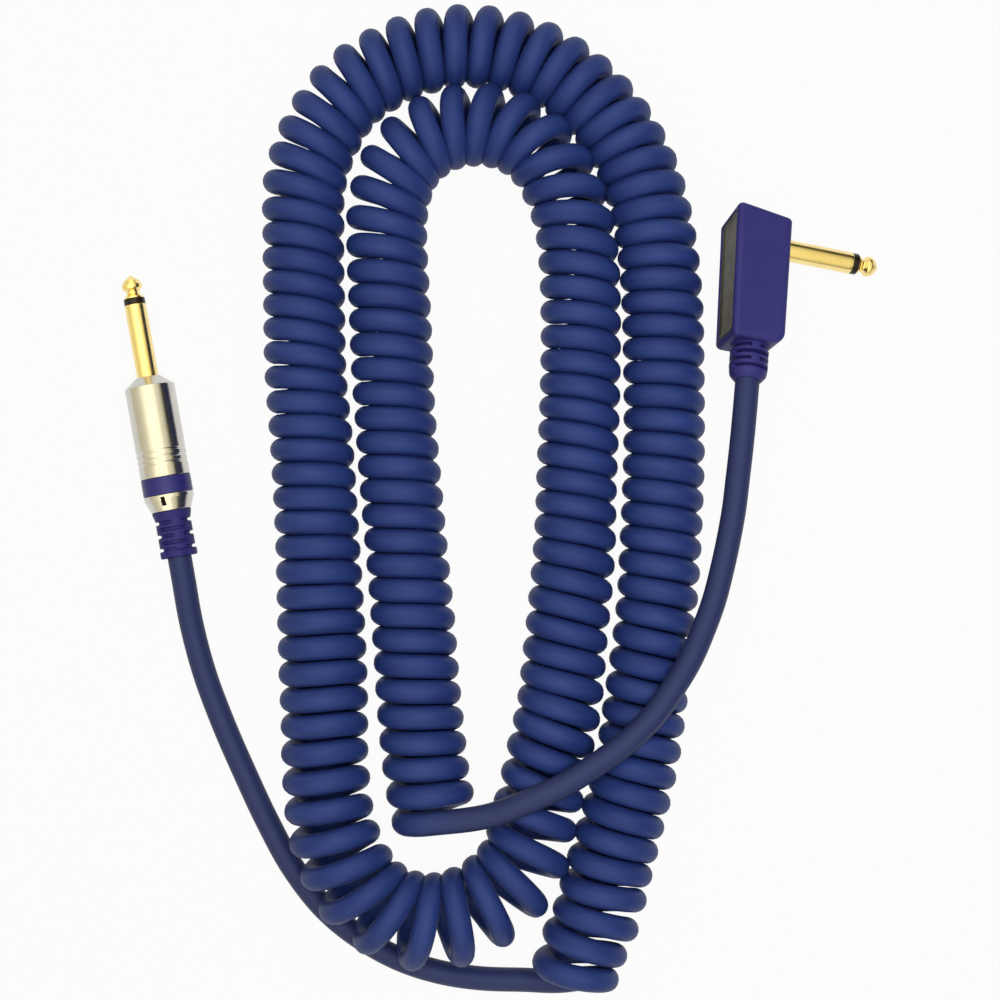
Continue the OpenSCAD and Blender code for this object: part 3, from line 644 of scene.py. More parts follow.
@dataclass(frozen=True)
class Plated:
    """A plated metal that was turned on a lathe about its own z.

    Attributes:
        name: The material's name.
        slot: The record's slot. Not used.
        colour: The colour of its reflections.
        tarnish: The colour where it is dull.
        roughness: The least and the most.
        turning: Depth of the turning marks, in millimetres.
        turning_per_mm: Turning marks in a millimetre, along each axis.
        cloud_per_mm: Lumps of the slow change from bright to dull, in the same way.
        most_tarnish: The share of the dull colour where it is dullest.
        recess: Radius within which the metal is painted with a near-black shade, or 0 for none.
        recess_edge: How wide the change to the painted shade is.
        recess_shade: The colour of the painted shade there.
        pattern: What the pattern follows.
    """

    name: str
    slot: str
    colour: Colour
    tarnish: Colour
    roughness: tuple[float, float] = (0.12, 0.2)
    turning: float = 0.0006
    turning_per_mm: Point = (0.02, 0.02, 14.0)
    cloud_per_mm: Point = (0.25, 0.25, 0.18)
    most_tarnish: float = 0.6
    recess: float = 0.0
    recess_edge: float = 0.1
    recess_shade: Colour = (0.012, 0.01, 0.008)
    pattern: Pattern = Pattern.OWN

    def material(self) -> bpy.types.Material:
        """Builds the material."""
        nodes = Nodes(self.name, self.pattern)
        cloud = nodes.noise(self.cloud_per_mm, detail=5.0, rough=0.6)
        rings = nodes.noise(self.turning_per_mm, detail=3.0)
        colour = nodes.mixed(nodes.spread(cloud, 0.0, self.most_tarnish), self.colour, self.tarnish)
        # Painted shade: within the recess radius the metal's colour is darkened to near black
        if self.recess:
            inside = nodes.step(nodes.from_axis(), self.recess, self.recess - self.recess_edge)
            colour = nodes.mixed(inside, colour, self.recess_shade)
        nodes.feed("Base Color", colour)
        nodes.feed("Roughness", nodes.spread(cloud, *self.roughness))
        nodes.fix("Metallic", 1.0)
        nodes.dents([(rings, self.turning)])
        return nodes.material


@dataclass(frozen=True)
class Stranded:
    """Bare strands gathered into a tail, or a metal that was stamped and bent.

    Attributes:
        name: The material's name.
        slot: The record's slot.
        colour: The colour of the bright places.
        tarnish: The colour of the dull places.
        strands_per_mm: Strands or drawing marks in a millimetre, along each axis of the frame.
        depth: How deep they are, in millimetres.
        roughness: The least and the most.
        cloud_per_mm: Lumps of the slow change from bright to dull, along each axis.
    """

    name: str
    slot: str
    colour: Colour
    tarnish: Colour
    strands_per_mm: Point
    depth: float
    roughness: tuple[float, float] = (0.25, 0.45)
    cloud_per_mm: Point = (0.4, 0.4, 0.4)

    def material(self) -> bpy.types.Material:
        """Builds the material."""
        nodes = Nodes(self.name, Pattern.FRAME)
        strands = nodes.noise(self.strands_per_mm, detail=3.0)
        cloud = nodes.noise(self.cloud_per_mm, detail=4.0)
        nodes.feed("Base Color", nodes.mixed(nodes.spread(cloud, 0.0, 1.0), self.colour, self.tarnish))
        nodes.feed("Roughness", nodes.spread(strands, *self.roughness))
        nodes.fix("Metallic", 1.0)
        nodes.dents([(strands, self.depth)])
        return nodes.material


Finish = Moulded | Plated | Stranded

JACKET = CordJacket(
    "matt_cord_jacket", "jacket", linear(28, 43, 101), linear(36, 56, 115),
    roughness=(0.46, 0.58), grain=0.008, grain_per_mm=(5.0, 5.0, 1.2), cloud_per_mm=(0.3, 0.3, 0.05),
    specular=0.26, tail=linear(38, 46, 87),
)
HOUSING = Moulded(
    "satin_housing", "housing", linear(40, 38, 101), linear(46, 44, 109),
    roughness=(0.44, 0.54), grain=0.01, grain_per_mm=(6.0, 6.0, 6.0),
)
BOOT = Moulded(
    "soft_boot", "boot", linear(36, 33, 94), linear(43, 40, 103),
    roughness=(0.5, 0.6), grain=0.012, grain_per_mm=(5.0, 5.0, 5.0),
)
BAND = Moulded(
    "gloss_band", "colour_ring", linear(42, 39, 104), linear(48, 45, 112),
    roughness=(0.26, 0.34), grain=0.003, grain_per_mm=(3.0, 3.0, 8.0),
)
INSULATOR = Moulded(
    "black_insulator_ring", "black_insulator", linear(22, 16, 12), linear(34, 25, 18),
    roughness=(0.22, 0.32), grain=0.003, grain_per_mm=(3.0, 3.0, 8.0),
)
PLATE = Moulded(
    "dark_plate", "badge", linear(58, 54, 34), linear(92, 86, 60),
    roughness=(0.3, 0.44), grain=0.006, grain_per_mm=(1.5, 9.0, 1.5), cloud_per_mm=(0.3, 0.2, 0.3),
    specular=0.14,
)
GILT = Plated(
    "gilt_plating", "gilt", linear(252, 229, 160), linear(242, 214, 136), roughness=(0.16, 0.26),
    turning=0.0004,
)
NICKEL = Plated(
    "bright_nickel", "nickel", linear(208, 205, 199), linear(196, 192, 184), roughness=(0.18, 0.26),
    turning=0.0004,
)
# The clamp nut's slot floors, bore and back face round its hole get a painted near-black shade
SLOTTED_NICKEL = replace(NICKEL, name="bright_nickel_slotted", recess=5.85)
INNER_MOULD = Moulded(
    "grey_inner_mould", "inner_mould", linear(52, 52, 56), linear(66, 66, 70), pattern=Pattern.FRAME,
)
WHITE_INSULATION = Moulded(
    "milky_insulation", "white_insulation", linear(226, 224, 214), linear(238, 236, 228),
    pattern=Pattern.FRAME,
)
COLLET = Moulded(
    "nylon_collet", "collet", linear(222, 222, 216), linear(234, 234, 230), pattern=Pattern.FRAME,
)
CONTACT = Stranded(
    "stamped_brass", "contact_brass", linear(232, 204, 142), linear(206, 172, 106), (3.0, 3.0, 3.0), 0.002,
)
BRAID = Stranded(
    "bare_copper_strands", "braid", linear(226, 150, 108), linear(180, 104, 70), (9.0, 0.8, 9.0), 0.03,
)


class Wardrobe:
    """Makes each finish's material once and puts it on pieces."""

    def __init__(self) -> None:
        """An empty wardrobe."""
        self.made: dict[str, bpy.types.Material] = {}

    def dress(self, piece: bpy.types.Object, finish: Finish) -> None:
        """Puts the finish on a piece."""
        if finish.name not in self.made:
            self.made[finish.name] = finish.material()
        piece.data.materials.clear()
        piece.data.materials.append(self.made[finish.name])


@dataclass
class Bench:
    """What each part needs to add its pieces: the finishes and the bodies they ride on."""

    wardrobe: Wardrobe = field(default_factory=Wardrobe)

    def add(
        self, name: str, surface: Surface, place: Placement, finish: Finish, body: str,
        nodes: tuple[str, ...], own: Array | None = None,
    ) -> bpy.types.Object:
        """Makes a piece that stands for CAD nodes.

        Args:
            name: The piece's name.
            surface: Its shape in its own axes.
            place: Where those axes are.
            finish: What it is made of.
            body: The body it rides on.
            nodes: The CAD nodes it stands for.
            own: Each point's place for the pattern, or None for its place in its own axes.

        Returns:
            The piece.
        """
        piece = make_object(name, surface, place, own)
        self.wardrobe.dress(piece, finish)
        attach(piece, body)
        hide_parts(*nodes)
        LOG.info("%s: %d faces", name, len(piece.data.polygons))
        return piece


# ---- The plugs' pins --------------------------------------------------------------------------


@dataclass
class PhonePin:
    """The 6.35 mm pin that both plugs have, along +z from the plug's face.

    Attributes:
        plug: The plug's name, which starts the names of its pieces and nodes.
        place: The pin's axes.
        back: How far the sleeve reaches behind the face.
        flange_radius: Radius of the sleeve's flange behind the face, or 0 for none.
        flange_front: How far behind the face the flange starts.
        flange_thickness: The flange's thickness.
        shank_step: How much thinner the sleeve is behind the face, on the radius.
        ring_thickness: Length of the insulating ring between the sleeve and the tip.
        length: From the face to the end of the tip.
        sides: Points round each piece.
    """

    plug: str
    place: Placement
    back: float
    flange_radius: float = 0.0
    flange_front: float = 0.0
    flange_thickness: float = 2.0
    sleeve_radius: float = 3.175
    sleeve_wall: float = 0.9
    shank_step: float = 0.2
    sleeve_length: float = 21.8
    ring_thickness: float = 1.9
    ring_radius: float = 3.125
    length: float = 30.5
    ball_radius: float = 3.0
    neck_radius: float = 1.85
    rod_radius: float = 1.12
    sides: int = 96

    def sleeve(self) -> Surface:
        """The gilt tube with its thinner shank, and the flange if there is one."""
        bore, shank = self.sleeve_radius - self.sleeve_wall, self.sleeve_radius - self.shank_step
        corners = [(shank, -self.back, 0.0)]
        if self.flange_radius:
            back = -self.flange_front - self.flange_thickness
            corners += [
                (self.flange_radius, back, 0.15), (self.flange_radius, -self.flange_front, 0.15),
                (shank, -self.flange_front, 0.1),
            ]
            corners[0] = (bore, back, 0.0)
        corners += [
            (shank, 0, 0.0), (self.sleeve_radius, 0, 0.1),
            (self.sleeve_radius, self.sleeve_length, 0.12), (bore, self.sleeve_length, 0.0),
        ]
        if not self.flange_radius:
            corners.append((bore, -self.back, 0.0))
        return lathe(rounded_line(corners, 1.0, closed=True), self.sides, closed=True)

    def ring(self) -> Surface:
        """The insulating ring between the sleeve and the tip."""
        low, high = self.sleeve_length, self.sleeve_length + self.ring_thickness
        corners = [
            (self.rod_radius, low, 0.0), (self.ring_radius, low, 0.06),
            (self.ring_radius, high, 0.14), (self.rod_radius, high, 0.0),
        ]
        return lathe(rounded_line(corners, 0.5, closed=True), self.sides, closed=True)

    def tip(self) -> Surface:
        """The collar, the neck and the ball that is drawn in to a blunt point."""
        start, ball, neck = self.sleeve_length + self.ring_thickness, self.ball_radius, self.neck_radius
        corners = [
            (0, start, 0.0), (ball - 0.12, start, 0.1), (ball - 0.25, start + 0.55, 0.2),
            (neck, start + 1.45, 0.5), (neck, start + 1.95, 0.4),
            (ball - 0.05, self.length - 3.75, 0.55), (ball, self.length - 2.75, 0.7),
            (ball - 0.75, self.length - 1.35, 0.5), (0.95, self.length - 0.45, 0.35),
            (0.5, self.length, 0.2), (0, self.length, 0.0),
        ]
        return lathe(rounded_line(corners, 0.3, closed=False), self.sides, closed=False)

    def build(self, bench: Bench) -> None:
        """Adds the pin's three outer pieces, on the root body."""
        for part, surface, finish, node in (
            ("pin_sleeve", self.sleeve(), GILT, "sleeve"),
            ("pin_ring", self.ring(), INSULATOR, "tip_ring"),
            ("pin_ball", self.tip(), GILT, "tip"),
        ):
            bench.add(
                f"{self.plug}_{part}", surface, self.place, finish, "root", (f"{self.plug}_{node}",)
            )


# ---- The straight plug ------------------------------------------------------------------------


@dataclass
class StraightPlug:
    """The straight plug, along -z from its face, with +x and -y as the camera sees them: right and up.

    Attributes:
        place: The plug's axes, with z along the pin.
    """

    place: Placement
    sides: int = 128
    # Between pieces that slide or turn on each other
    run_gap: float = 0.05
    # The shell, with its grooves counted from its back
    shell_radius: float = 7.35
    shell_wall: float = 1.15
    shell_length: float = 30.1
    shell_nose: float = 2.9
    shell_rim: float = 0.5
    shell_front: float = 3.2
    grooves: int = 3
    groove_depth: float = 0.22
    groove_width: float = 0.8
    first_groove: float = 4.0
    groove_pitch: float = 1.9
    # The coloured ring
    band_length: float = 5.1
    # The nut, with two flat slots across from each other and a spigot that goes into the shell
    nut_length: float = 4.9
    nut_end_radius: float = 5.9
    nut_rim: float = 1.2
    nut_wall: float = 1.8
    nut_slot_width: float = 1.1
    nut_slot_length: float = 2.4
    nut_slot_front: float = 0.8
    nut_slot_turn: float = -95.0
    nut_slot_floor: float = 5.5
    spigot_length: float = 7.8
    spigot_wall: float = 0.8
    # The boot. Even and odd rows have their own slots: the direction of each slot's middle and its
    # sweep, in degrees. Each slot has its like across from it. Two gaps part the lugs at the end.
    boot_sides: int = 180
    boot_length: float = 14.0
    boot_radius: float = 5.25
    boot_lug_radius: float = 5.45
    boot_lug_length: float = 2.2
    boot_gap_turn: float = -90.0
    boot_gap_sweep: float = 100.0
    boot_gap_depth: float = 1.2
    boot_taper: float = 2.6
    boot_bore: float = 3.85
    boot_neck: float = 4.35
    boot_flange: float = 2.1
    boot_skin: float = 0.6
    boot_slots: tuple[tuple[tuple[float, float], ...], ...] = (((0, 100), (-105, 36)), ((-90, 100),))
    boot_slot_depth: float = 1.0
    boot_slot_width: float = 0.9
    boot_first_slot: float = 3.3
    boot_slot_pitch: float = 2.0
    boot_slot_rows: int = 5

    @property
    def bore(self) -> float:
        """Radius of the shell's bore."""
        return self.shell_radius - self.shell_wall

    @property
    def nut_front(self) -> float:
        """How far behind the face the nut's rim starts."""
        return self.shell_length + self.band_length + 2 * self.run_gap

    @property
    def nut_back(self) -> float:
        """How far behind the face the nut ends."""
        return self.nut_front + self.nut_length

    def shell(self) -> Surface:
        """The barrel with its cone, its bore and three shallow grooves."""
        pin, r, length = PhonePin.sleeve_radius, self.shell_radius, self.shell_length
        hole = pin + self.run_gap
        corners = [
            (hole, -self.shell_front, 0.1), (hole, 0, 0.12), (pin + self.shell_rim, 0, 0.1),
            (r, -self.shell_nose, 0.35), (r, -length, 0.25), (self.bore, -length, 0.1),
            (self.bore, -self.shell_front, 0.1),
        ]
        radius, height = rounded_line(corners[::-1], 0.2, closed=True).T
        for i in range(self.grooves):
            middle = -length + self.first_groove + self.groove_pitch * i
            cut = np.clip(1 - (2 * (height - middle) / self.groove_width) ** 2, 0, 1)
            radius = radius - np.where(radius > r - ON_FACE, self.groove_depth * cut, 0)
        return lathe(np.stack([radius, height], axis=1), self.sides, closed=True)

    def band(self) -> Surface:
        """The coloured ring between the shell and the nut."""
        front, back = -self.shell_length - self.run_gap, -self.nut_front + self.run_gap
        inner = self.bore + self.run_gap
        corners = [
            (inner, back, 0.1), (self.shell_radius, back, 0.25),
            (self.shell_radius, front, 0.25), (inner, front, 0.1),
        ]
        return lathe(rounded_line(corners, 0.4, closed=True), self.sides, closed=True)

    def nut(self) -> Surface:
        """The clamp nut: a tapered rim with two slots for a spanner, and the spigot in front."""
        front, back = -self.nut_front, -self.nut_back
        spigot = self.bore - self.run_gap
        bore = spigot - self.spigot_wall
        hole = self.boot_neck + self.run_gap
        corners = [
            (hole, back, 0.1), (self.nut_end_radius, back, 0.3),
            (self.shell_radius, front - self.nut_rim, 0.5), (self.shell_radius, front, 0.25),
            (spigot, front, 0.1), (spigot, front + self.spigot_length, 0.2),
            (bore, front + self.spigot_length, 0.2), (bore, back + self.nut_wall, 0.1),
            (hole, back + self.nut_wall, 0.1),
        ]
        angle, radius, height = revolved(rounded_line(corners, 0.15, closed=True), 2 * self.sides)
        middle = front - self.nut_slot_front - self.nut_slot_length / 2
        for side in (0.0, 180.0):
            off = angle_from(angle, self.nut_slot_turn + side)
            in_slot = (
                within(radius * np.sin(off), 0.0, self.nut_slot_width, 0.15)
                * within(height, middle, self.nut_slot_length, 0.18)
                * (np.cos(off) > 0)
            )
            outside = (radius > self.nut_slot_floor) & (height < front - ON_FACE)
            radius = np.where(outside, radius + (self.nut_slot_floor - radius) * in_slot, radius)
        return woven(round_grid(angle, radius, height), wrap_rows=True)

    def boot(self) -> Surface:
        """The boot: a collar, rows of slots that take turns, and two lugs at the end."""
        front, back = -self.nut_back - self.run_gap, -self.nut_back - self.boot_length
        flange_back = -self.nut_back + self.nut_wall + self.run_gap
        flange_radius = self.bore - self.run_gap - self.spigot_wall - 2 * self.run_gap
        lug = back + self.boot_lug_length
        corners = [
            (self.boot_bore, back, 0.2), (self.boot_lug_radius, back, 0.5),
            (self.boot_lug_radius, lug, 0.25), (self.boot_radius, lug, 0.05),
            (self.boot_radius, front - self.boot_taper, 0.8), (self.nut_end_radius, front, 0.4),
            (self.boot_neck, front, 0.1), (self.boot_neck, flange_back, 0.1),
            (flange_radius, flange_back, 0.2), (flange_radius, flange_back + self.boot_flange, 0.2),
            (self.boot_bore, flange_back + self.boot_flange, 0.2),
        ]
        profile = rounded_line(corners, 0.12, closed=True)
        angle, radius, height = revolved(profile, self.boot_sides)
        cut = np.zeros_like(radius)
        for row in range(self.boot_slot_rows):
            middle = front - self.boot_first_slot - self.boot_slot_pitch * row
            level = self.boot_slot_depth * within(height, middle, self.boot_slot_width, 0.25)
            for turn, sweep in self.boot_slots[row % 2]:
                for side in (0, 180):
                    cut = np.maximum(cut, level * sector(angle, turn + side, sweep, 0.06))
        at_lugs = self.boot_gap_depth * (1 - step_up(height, lug + 0.1, 0.25))
        for side in (0, 180):
            gap = sector(angle, self.boot_gap_turn + side, self.boot_gap_sweep, 0.1)
            cut = np.maximum(cut, at_lugs * gap)
        outer = (radius > self.boot_radius - self.boot_skin) & (height < front)
        radius = np.where(outer, radius - cut, radius)
        return woven(round_grid(angle, radius, height), wrap_rows=True)

    def build(self, bench: Bench) -> None:
        """Adds the shell, the band, the nut, the boot and the pin."""
        for name, surface, finish, body, node in (
            ("straight_barrel", self.shell(), NICKEL, "shell", "straight_shell"),
            ("straight_band", self.band(), BAND, "nut", "straight_colour_ring"),
            ("straight_clamp_nut", self.nut(), SLOTTED_NICKEL, "nut", "straight_rear_nut"),
            ("straight_cord_boot", self.boot(), BOOT, "boot", "straight_boot"),
        ):
            bench.add(name, surface, self.place, finish, body, (node,))
        flange_front = self.shell_front + self.run_gap
        PhonePin(
            "straight", self.place, back=flange_front + PhonePin.flange_thickness,
            flange_radius=self.bore - self.run_gap, flange_front=flange_front,
        ).build(bench)


# ---- The right-angle plug ---------------------------------------------------------------------


@dataclass
class AnglePlug:
    """The right-angle plug: pin along +x, cord along -y, the side away from the table along +z.

    Attributes:
        place: The plug's axes, with the origin on the pin's axis in the middle of the housing.
        depth: From the pin's side to the badge's, along x.
        width: Along z.
        length: From the strain relief to the top, along y.
        crown: How much further up the badge's side reaches than the pin's.
        slant: How far the top slants down across the badge's side.
        flare: How much deeper the top is than the foot.
        pin_to_end: From the pin's axis to the top on the pin's side.
        sleeve_back: How far the pin's sleeve reaches into the housing.
    """

    place: Placement
    depth: float = 16.0
    width: float = 16.0
    length: float = 39.2
    crown: float = 2.6
    slant: float = 2.6
    flare: float = 1.2
    pin_to_end: float = 7.0
    heel_radius: float = 3.5
    edge_radius: float = 1.6
    sleeve_back: float = 9.4
    # The strain relief, which starts inside the housing. Its rows of slots take turns round it.
    relief_sides: int = 160
    relief_start: float = 20.0
    relief_length: float = 10.6
    relief_radius: float = 5.65
    relief_skin: float = 0.4
    slot_sweep: float = 150.0
    slot_width: float = 0.9
    slot_pitch: float = 2.07
    slot_depth: float = 1.8
    first_slot: float = 1.0
    slot_rows: int = 4
    # The badge's plate and the pocket that holds it
    plate_gap: float = 0.12
    plate_lift: float = 0.02
    plate_corner: float = 2.0
    plate_margin: float = 2.0
    pocket_edge: float = 0.45
    pocket_depth: float = 0.9
    # How far in from the plate's outline, and how high: the rim rises, stays and falls to the field
    plate_rim: tuple[tuple[float, float], ...] = (
        (0.0, 0.0), (0.0, 0.35), (0.08, 0.5), (0.25, 0.58), (0.7, 0.6), (0.9, 0.55), (1.2, 0.36),
        (1.4, 0.32),
    )

    @property
    def foot(self) -> float:
        """Where the housing ends and the strain relief starts, along y."""
        return self.pin_to_end - self.length

    def housing(self) -> Surface:
        """The moulded body.

        Its outline in x and y is carried up z. Where z nears a side, the outline is drawn in by
        e·(1 - cos b) while z follows e·sin b, which rounds the edges with radius e. On the badge's
        side the points within the plate's outline are set back by the pocket's depth.
        """
        half_d, half_w, e, step = self.depth / 2, self.width / 2, self.edge_radius, 0.3
        outline = rounded_line(
            [
                (-half_d, self.foot, e), (half_d, self.foot, self.heel_radius),
                (half_d, self.pin_to_end, e), (-half_d, self.pin_to_end + self.crown, e),
            ],
            step, closed=True, steps=10,
        )
        b = np.radians(np.linspace(0, 90, 9))
        flat = np.arange(e - half_w, half_w - e + step / 2, step)[1:-1]
        inset = np.concatenate([e * (1 - np.cos(b[::-1])), 0 * flat, e * (1 - np.cos(b))])
        height = np.concatenate([e - half_w - e * np.sin(b[::-1]), flat, half_w - e + e * np.sin(b)])
        rings = outline[None] + inward(outline)[None] * inset[:, None, None]
        heights = np.broadcast_to(height[:, None, None], (*rings.shape[:2], 1))
        body = np.concatenate([rings, heights], axis=2)
        middle = np.array([0, (self.foot + self.pin_to_end) / 2, 0])
        # The rings of a flat side, as shares of the way from its middle to its edge
        share = np.array([0.0, 0.3, 0.6, 0.85, 0.97])[:, None, None]

        def cap(ring: Array) -> Array:
            """Rings from the middle of a flat side out to its edge."""
            centre = middle + [0, 0, ring[0, 2]]
            return centre + (ring - centre) * share

        grid = np.concatenate([cap(body[0]), body, cap(body[-1])[::-1]])
        grid[..., 0] += self.pocket(grid)
        return woven(self.shaped(grid), wrap_rows=False)

    def shaped(self, points: Array) -> Array:
        """Points of a plain block as points of the housing.

        Its long end slants by y - slant·(1/2 - z/width)·b·(y/top), for y above the pin's axis, and
        the badge's side flares by x - flare·b·(y - foot)/(top - foot). b goes from 0 on the pin's
        side to 1 on the badge's.
        """
        x, y, z = np.moveaxis(points, -1, 0)
        top = self.pin_to_end + self.crown
        b = 0.5 - x / self.depth
        new_y = y - self.slant * (0.5 - z / self.width) * b * np.clip(y / top, 0, 1)
        new_x = x - self.flare * b * (y - self.foot) / (top - self.foot)
        return np.stack([new_x, new_y, z], axis=-1)

    def badge_box(self, margin: float) -> tuple[float, float, float]:
        """The low and the high end of an outline in the badge's side, and half its width."""
        return self.foot + margin, self.pin_to_end + self.crown - margin, self.width / 2 - margin

    def pocket(self, grid: Array) -> Array:
        """How far the badge's side is set back, for each point."""
        low, high, half_w = self.badge_box(self.plate_margin)
        corner = self.plate_corner
        y, z = grid[..., 1], grid[..., 2]
        dy = np.abs(y - (low + high) / 2) - (high - low) / 2 + corner
        dz = np.abs(z) - half_w + corner
        outside = np.hypot(np.maximum(dy, 0), np.maximum(dz, 0)) + np.minimum(np.maximum(dy, dz), 0)
        inside = 1 - step_up(outside - corner, 0.0, self.pocket_edge)
        return np.where(grid[..., 0] < -self.depth / 2 + ON_FACE, self.pocket_depth * inside, 0)

    def relief(self) -> Surface:
        """The strain relief: a round barrel with rows of slots, along -y."""
        end, r, start = self.relief_length - self.foot, self.relief_radius, self.relief_start
        corners = [
            (0, start, 0.0), (r, start, 0.0), (r, end - 3.4, 1.2), (r - 0.35, end - 1.5, 1.2),
            (r - 1.6, end, 0.5), (0, end, 0.0),
        ]
        angle, radius, height = revolved(rounded_line(corners, 0.14, closed=False), self.relief_sides)
        cut = np.zeros_like(radius)
        for row in range(self.slot_rows):
            middle = self.first_slot + self.slot_pitch * row - self.foot
            level = self.slot_depth * within(height, middle, self.slot_width, 0.22)
            for side in (0, 180):
                cut = np.maximum(cut, level * sector(angle, 90 * row + side, self.slot_sweep, 0.08))
        outer = radius > r - self.relief_skin
        radius = np.where(outer, radius - cut, radius)
        surface = woven(round_grid(angle, radius, height), wrap_rows=False)
        surface.points = surface.points @ turn_about(0, 90).T
        return surface

    def plate(self) -> Surface:
        """The plain plate in the badge's side, with a raised rim round a lower field."""
        low, high, half_w = self.badge_box(self.plate_margin + self.plate_gap)
        ends = ((half_w, low), (half_w, high), (-half_w, high), (-half_w, low))
        outline = rounded_line([(*end, self.plate_corner) for end in ends], 0.5, closed=True, steps=8)
        rim = np.array(self.plate_rim)
        rings = outline[None] + inward(outline)[None] * rim[:, 0, None, None]
        middle = np.array([0.0, (low + high) / 2])
        # The rings of the field, as shares of the way from its middle to the rim
        share = np.array([0.8, 0.5, 0.2, 0.0])[:, None, None]
        fill = middle + (rings[-1] - middle) * share
        base = np.broadcast_to(middle, outline.shape)[None]
        heights = np.concatenate([[0.0], rim[:, 1], np.full(len(share), rim[-1, 1])])
        flat = np.concatenate([base, rings, fill])
        x = self.pocket_depth - self.plate_lift - self.depth / 2 - heights
        grid = np.stack([np.broadcast_to(x[:, None], flat.shape[:2]), flat[..., 1], flat[..., 0]], axis=-1)
        return woven(self.shaped(grid), wrap_rows=False)

    def build(self, bench: Bench) -> None:
        """Adds the housing with its strain relief, the plate and the pin."""
        body = self.housing().joined(self.relief())
        bench.add("angle_moulded_body", body, self.place, HOUSING, "root", ("angle_housing",))
        bench.add("angle_side_plate", self.plate(), self.place, PLATE, "root", ("angle_badge",))
        pin = self.place.moved((self.depth / 2, 0, 0)).turned(turn_about(1, 90))
        PhonePin("angle", pin, back=self.sleeve_back).build(bench)


# ---- The cord ---------------------------------------------------------------------------------

# The coil's axis in the plane, in millimetres, from the straight plug's tail to the right-angle
# plug's: up the outer right strand, over the top, down the outer left, round the bottom bend, up
# the inner right, over the inner bend and down the inner left strand.
COIL_AXIS = [
    (22, -177.5), (23, -172.5), (25.5, -165.2), (29, -157), (31.5, -147.5), (35.5, -132.5), (38.5, -121.5),
    (41.5, -108), (43.5, -93.5), (45.5, -78.5), (47, -64), (48, -47), (49, -20), (48.9, 7.5), (48.5, 23),
    (47.3, 37.5), (44.9, 51), (40.7, 64.2), (33.9, 76.2), (24.4, 86.4), (12.2, 94.5), (-4, 99),
    (-19, 98.1), (-32, 93.4), (-43.6, 85.8), (-51.9, 73.8), (-56.7, 59.6), (-57.2, 44), (-57, 24.5),
    (-56.5, 1.5), (-55, -15), (-53, -47), (-51.7, -75.5), (-51, -93.5), (-50.3, -118), (-48.2, -133),
    (-44.2, -142.7), (-38.9, -150.5), (-31, -155.9), (-22, -158.3), (-12.5, -157.2), (-4.2, -153.2),
    (3.4, -147), (8.4, -138.5), (10.6, -129), (12.5, -121.5), (15.6, -107), (17.7, -97.5), (20, -76.5),
    (22.7, -47), (23.3, -28.5), (24.3, -2), (24.5, 19.5), (24.1, 33.5), (22.6, 46.5), (18.8, 58.5),
    (12.7, 68.3), (4.8, 73.9), (-4.2, 76), (-13, 75.3), (-21.2, 71.7), (-27.4, 65.8), (-31, 57.8),
    (-32.6, 48.7), (-32.6, 39.5), (-31.9, 24.5), (-30.6, -4), (-28, -36.5), (-25, -69), (-22.8, -97.5),
    (-20.2, -119.5), (-18.3, -128.5),
]
# Places along the coil's axis, and how many curls lie before each. They lie tight along the
# straight strands and wide round the bends.
COUNTED_CURLS = [
    (0, 0), (9.5, 1), (33.5, 4), (78, 10), (123, 16), (172.5, 23), (213.5, 29), (248.5, 34), (285.5, 39),
    (325.5, 44), (363.5, 49), (399.5, 54), (440.5, 60), (482.5, 66), (519, 71), (549.5, 75), (585, 79),
    (616, 82), (646, 85), (674, 88), (703.5, 92), (748, 98), (796.5, 105), (840, 111), (867, 114),
    (899, 118), (929.5, 122), (965, 127), (1007.5, 133), (1051, 139), (1088.5, 144), (1100.6, 145.5),
]
# Free points of the two tails. The first lies on the table, the second crosses two strands.
STRAIGHT_TAIL = [
    (-91.6, -70.5, 5.2), (-88, -85.5, 3.6), (-82.5, -100.5, 3.6), (-76, -115.5, 3.6), (-69, -130.5, 3.6),
    (-61, -145, 3.6), (-51, -157.5, 3.6), (-39.5, -166.5, 3.6), (-28, -172.5, 3.6), (-16.5, -176, 3.6),
    (-5, -177.7, 3.6), (6.5, -178.1, 3.6),
]
ANGLE_TAIL = [
    (-1.5, -125, 25.5), (8, -121, 28), (18, -116.5, 28.4), (27, -111, 28.2), (35.5, -105, 28.2),
    (43.5, -97.5, 28.3), (50, -88.8, 27.8), (55.3, -80.5, 26), (59.3, -72, 24), (62.6, -63.5, 22.4),
    (65, -54.8, 21.2), (67, -46, 20.6), (68.5, -37.5, 20.8), (69.5, -28.5, 21.6), (70.4, -19.5, 22.7),
]


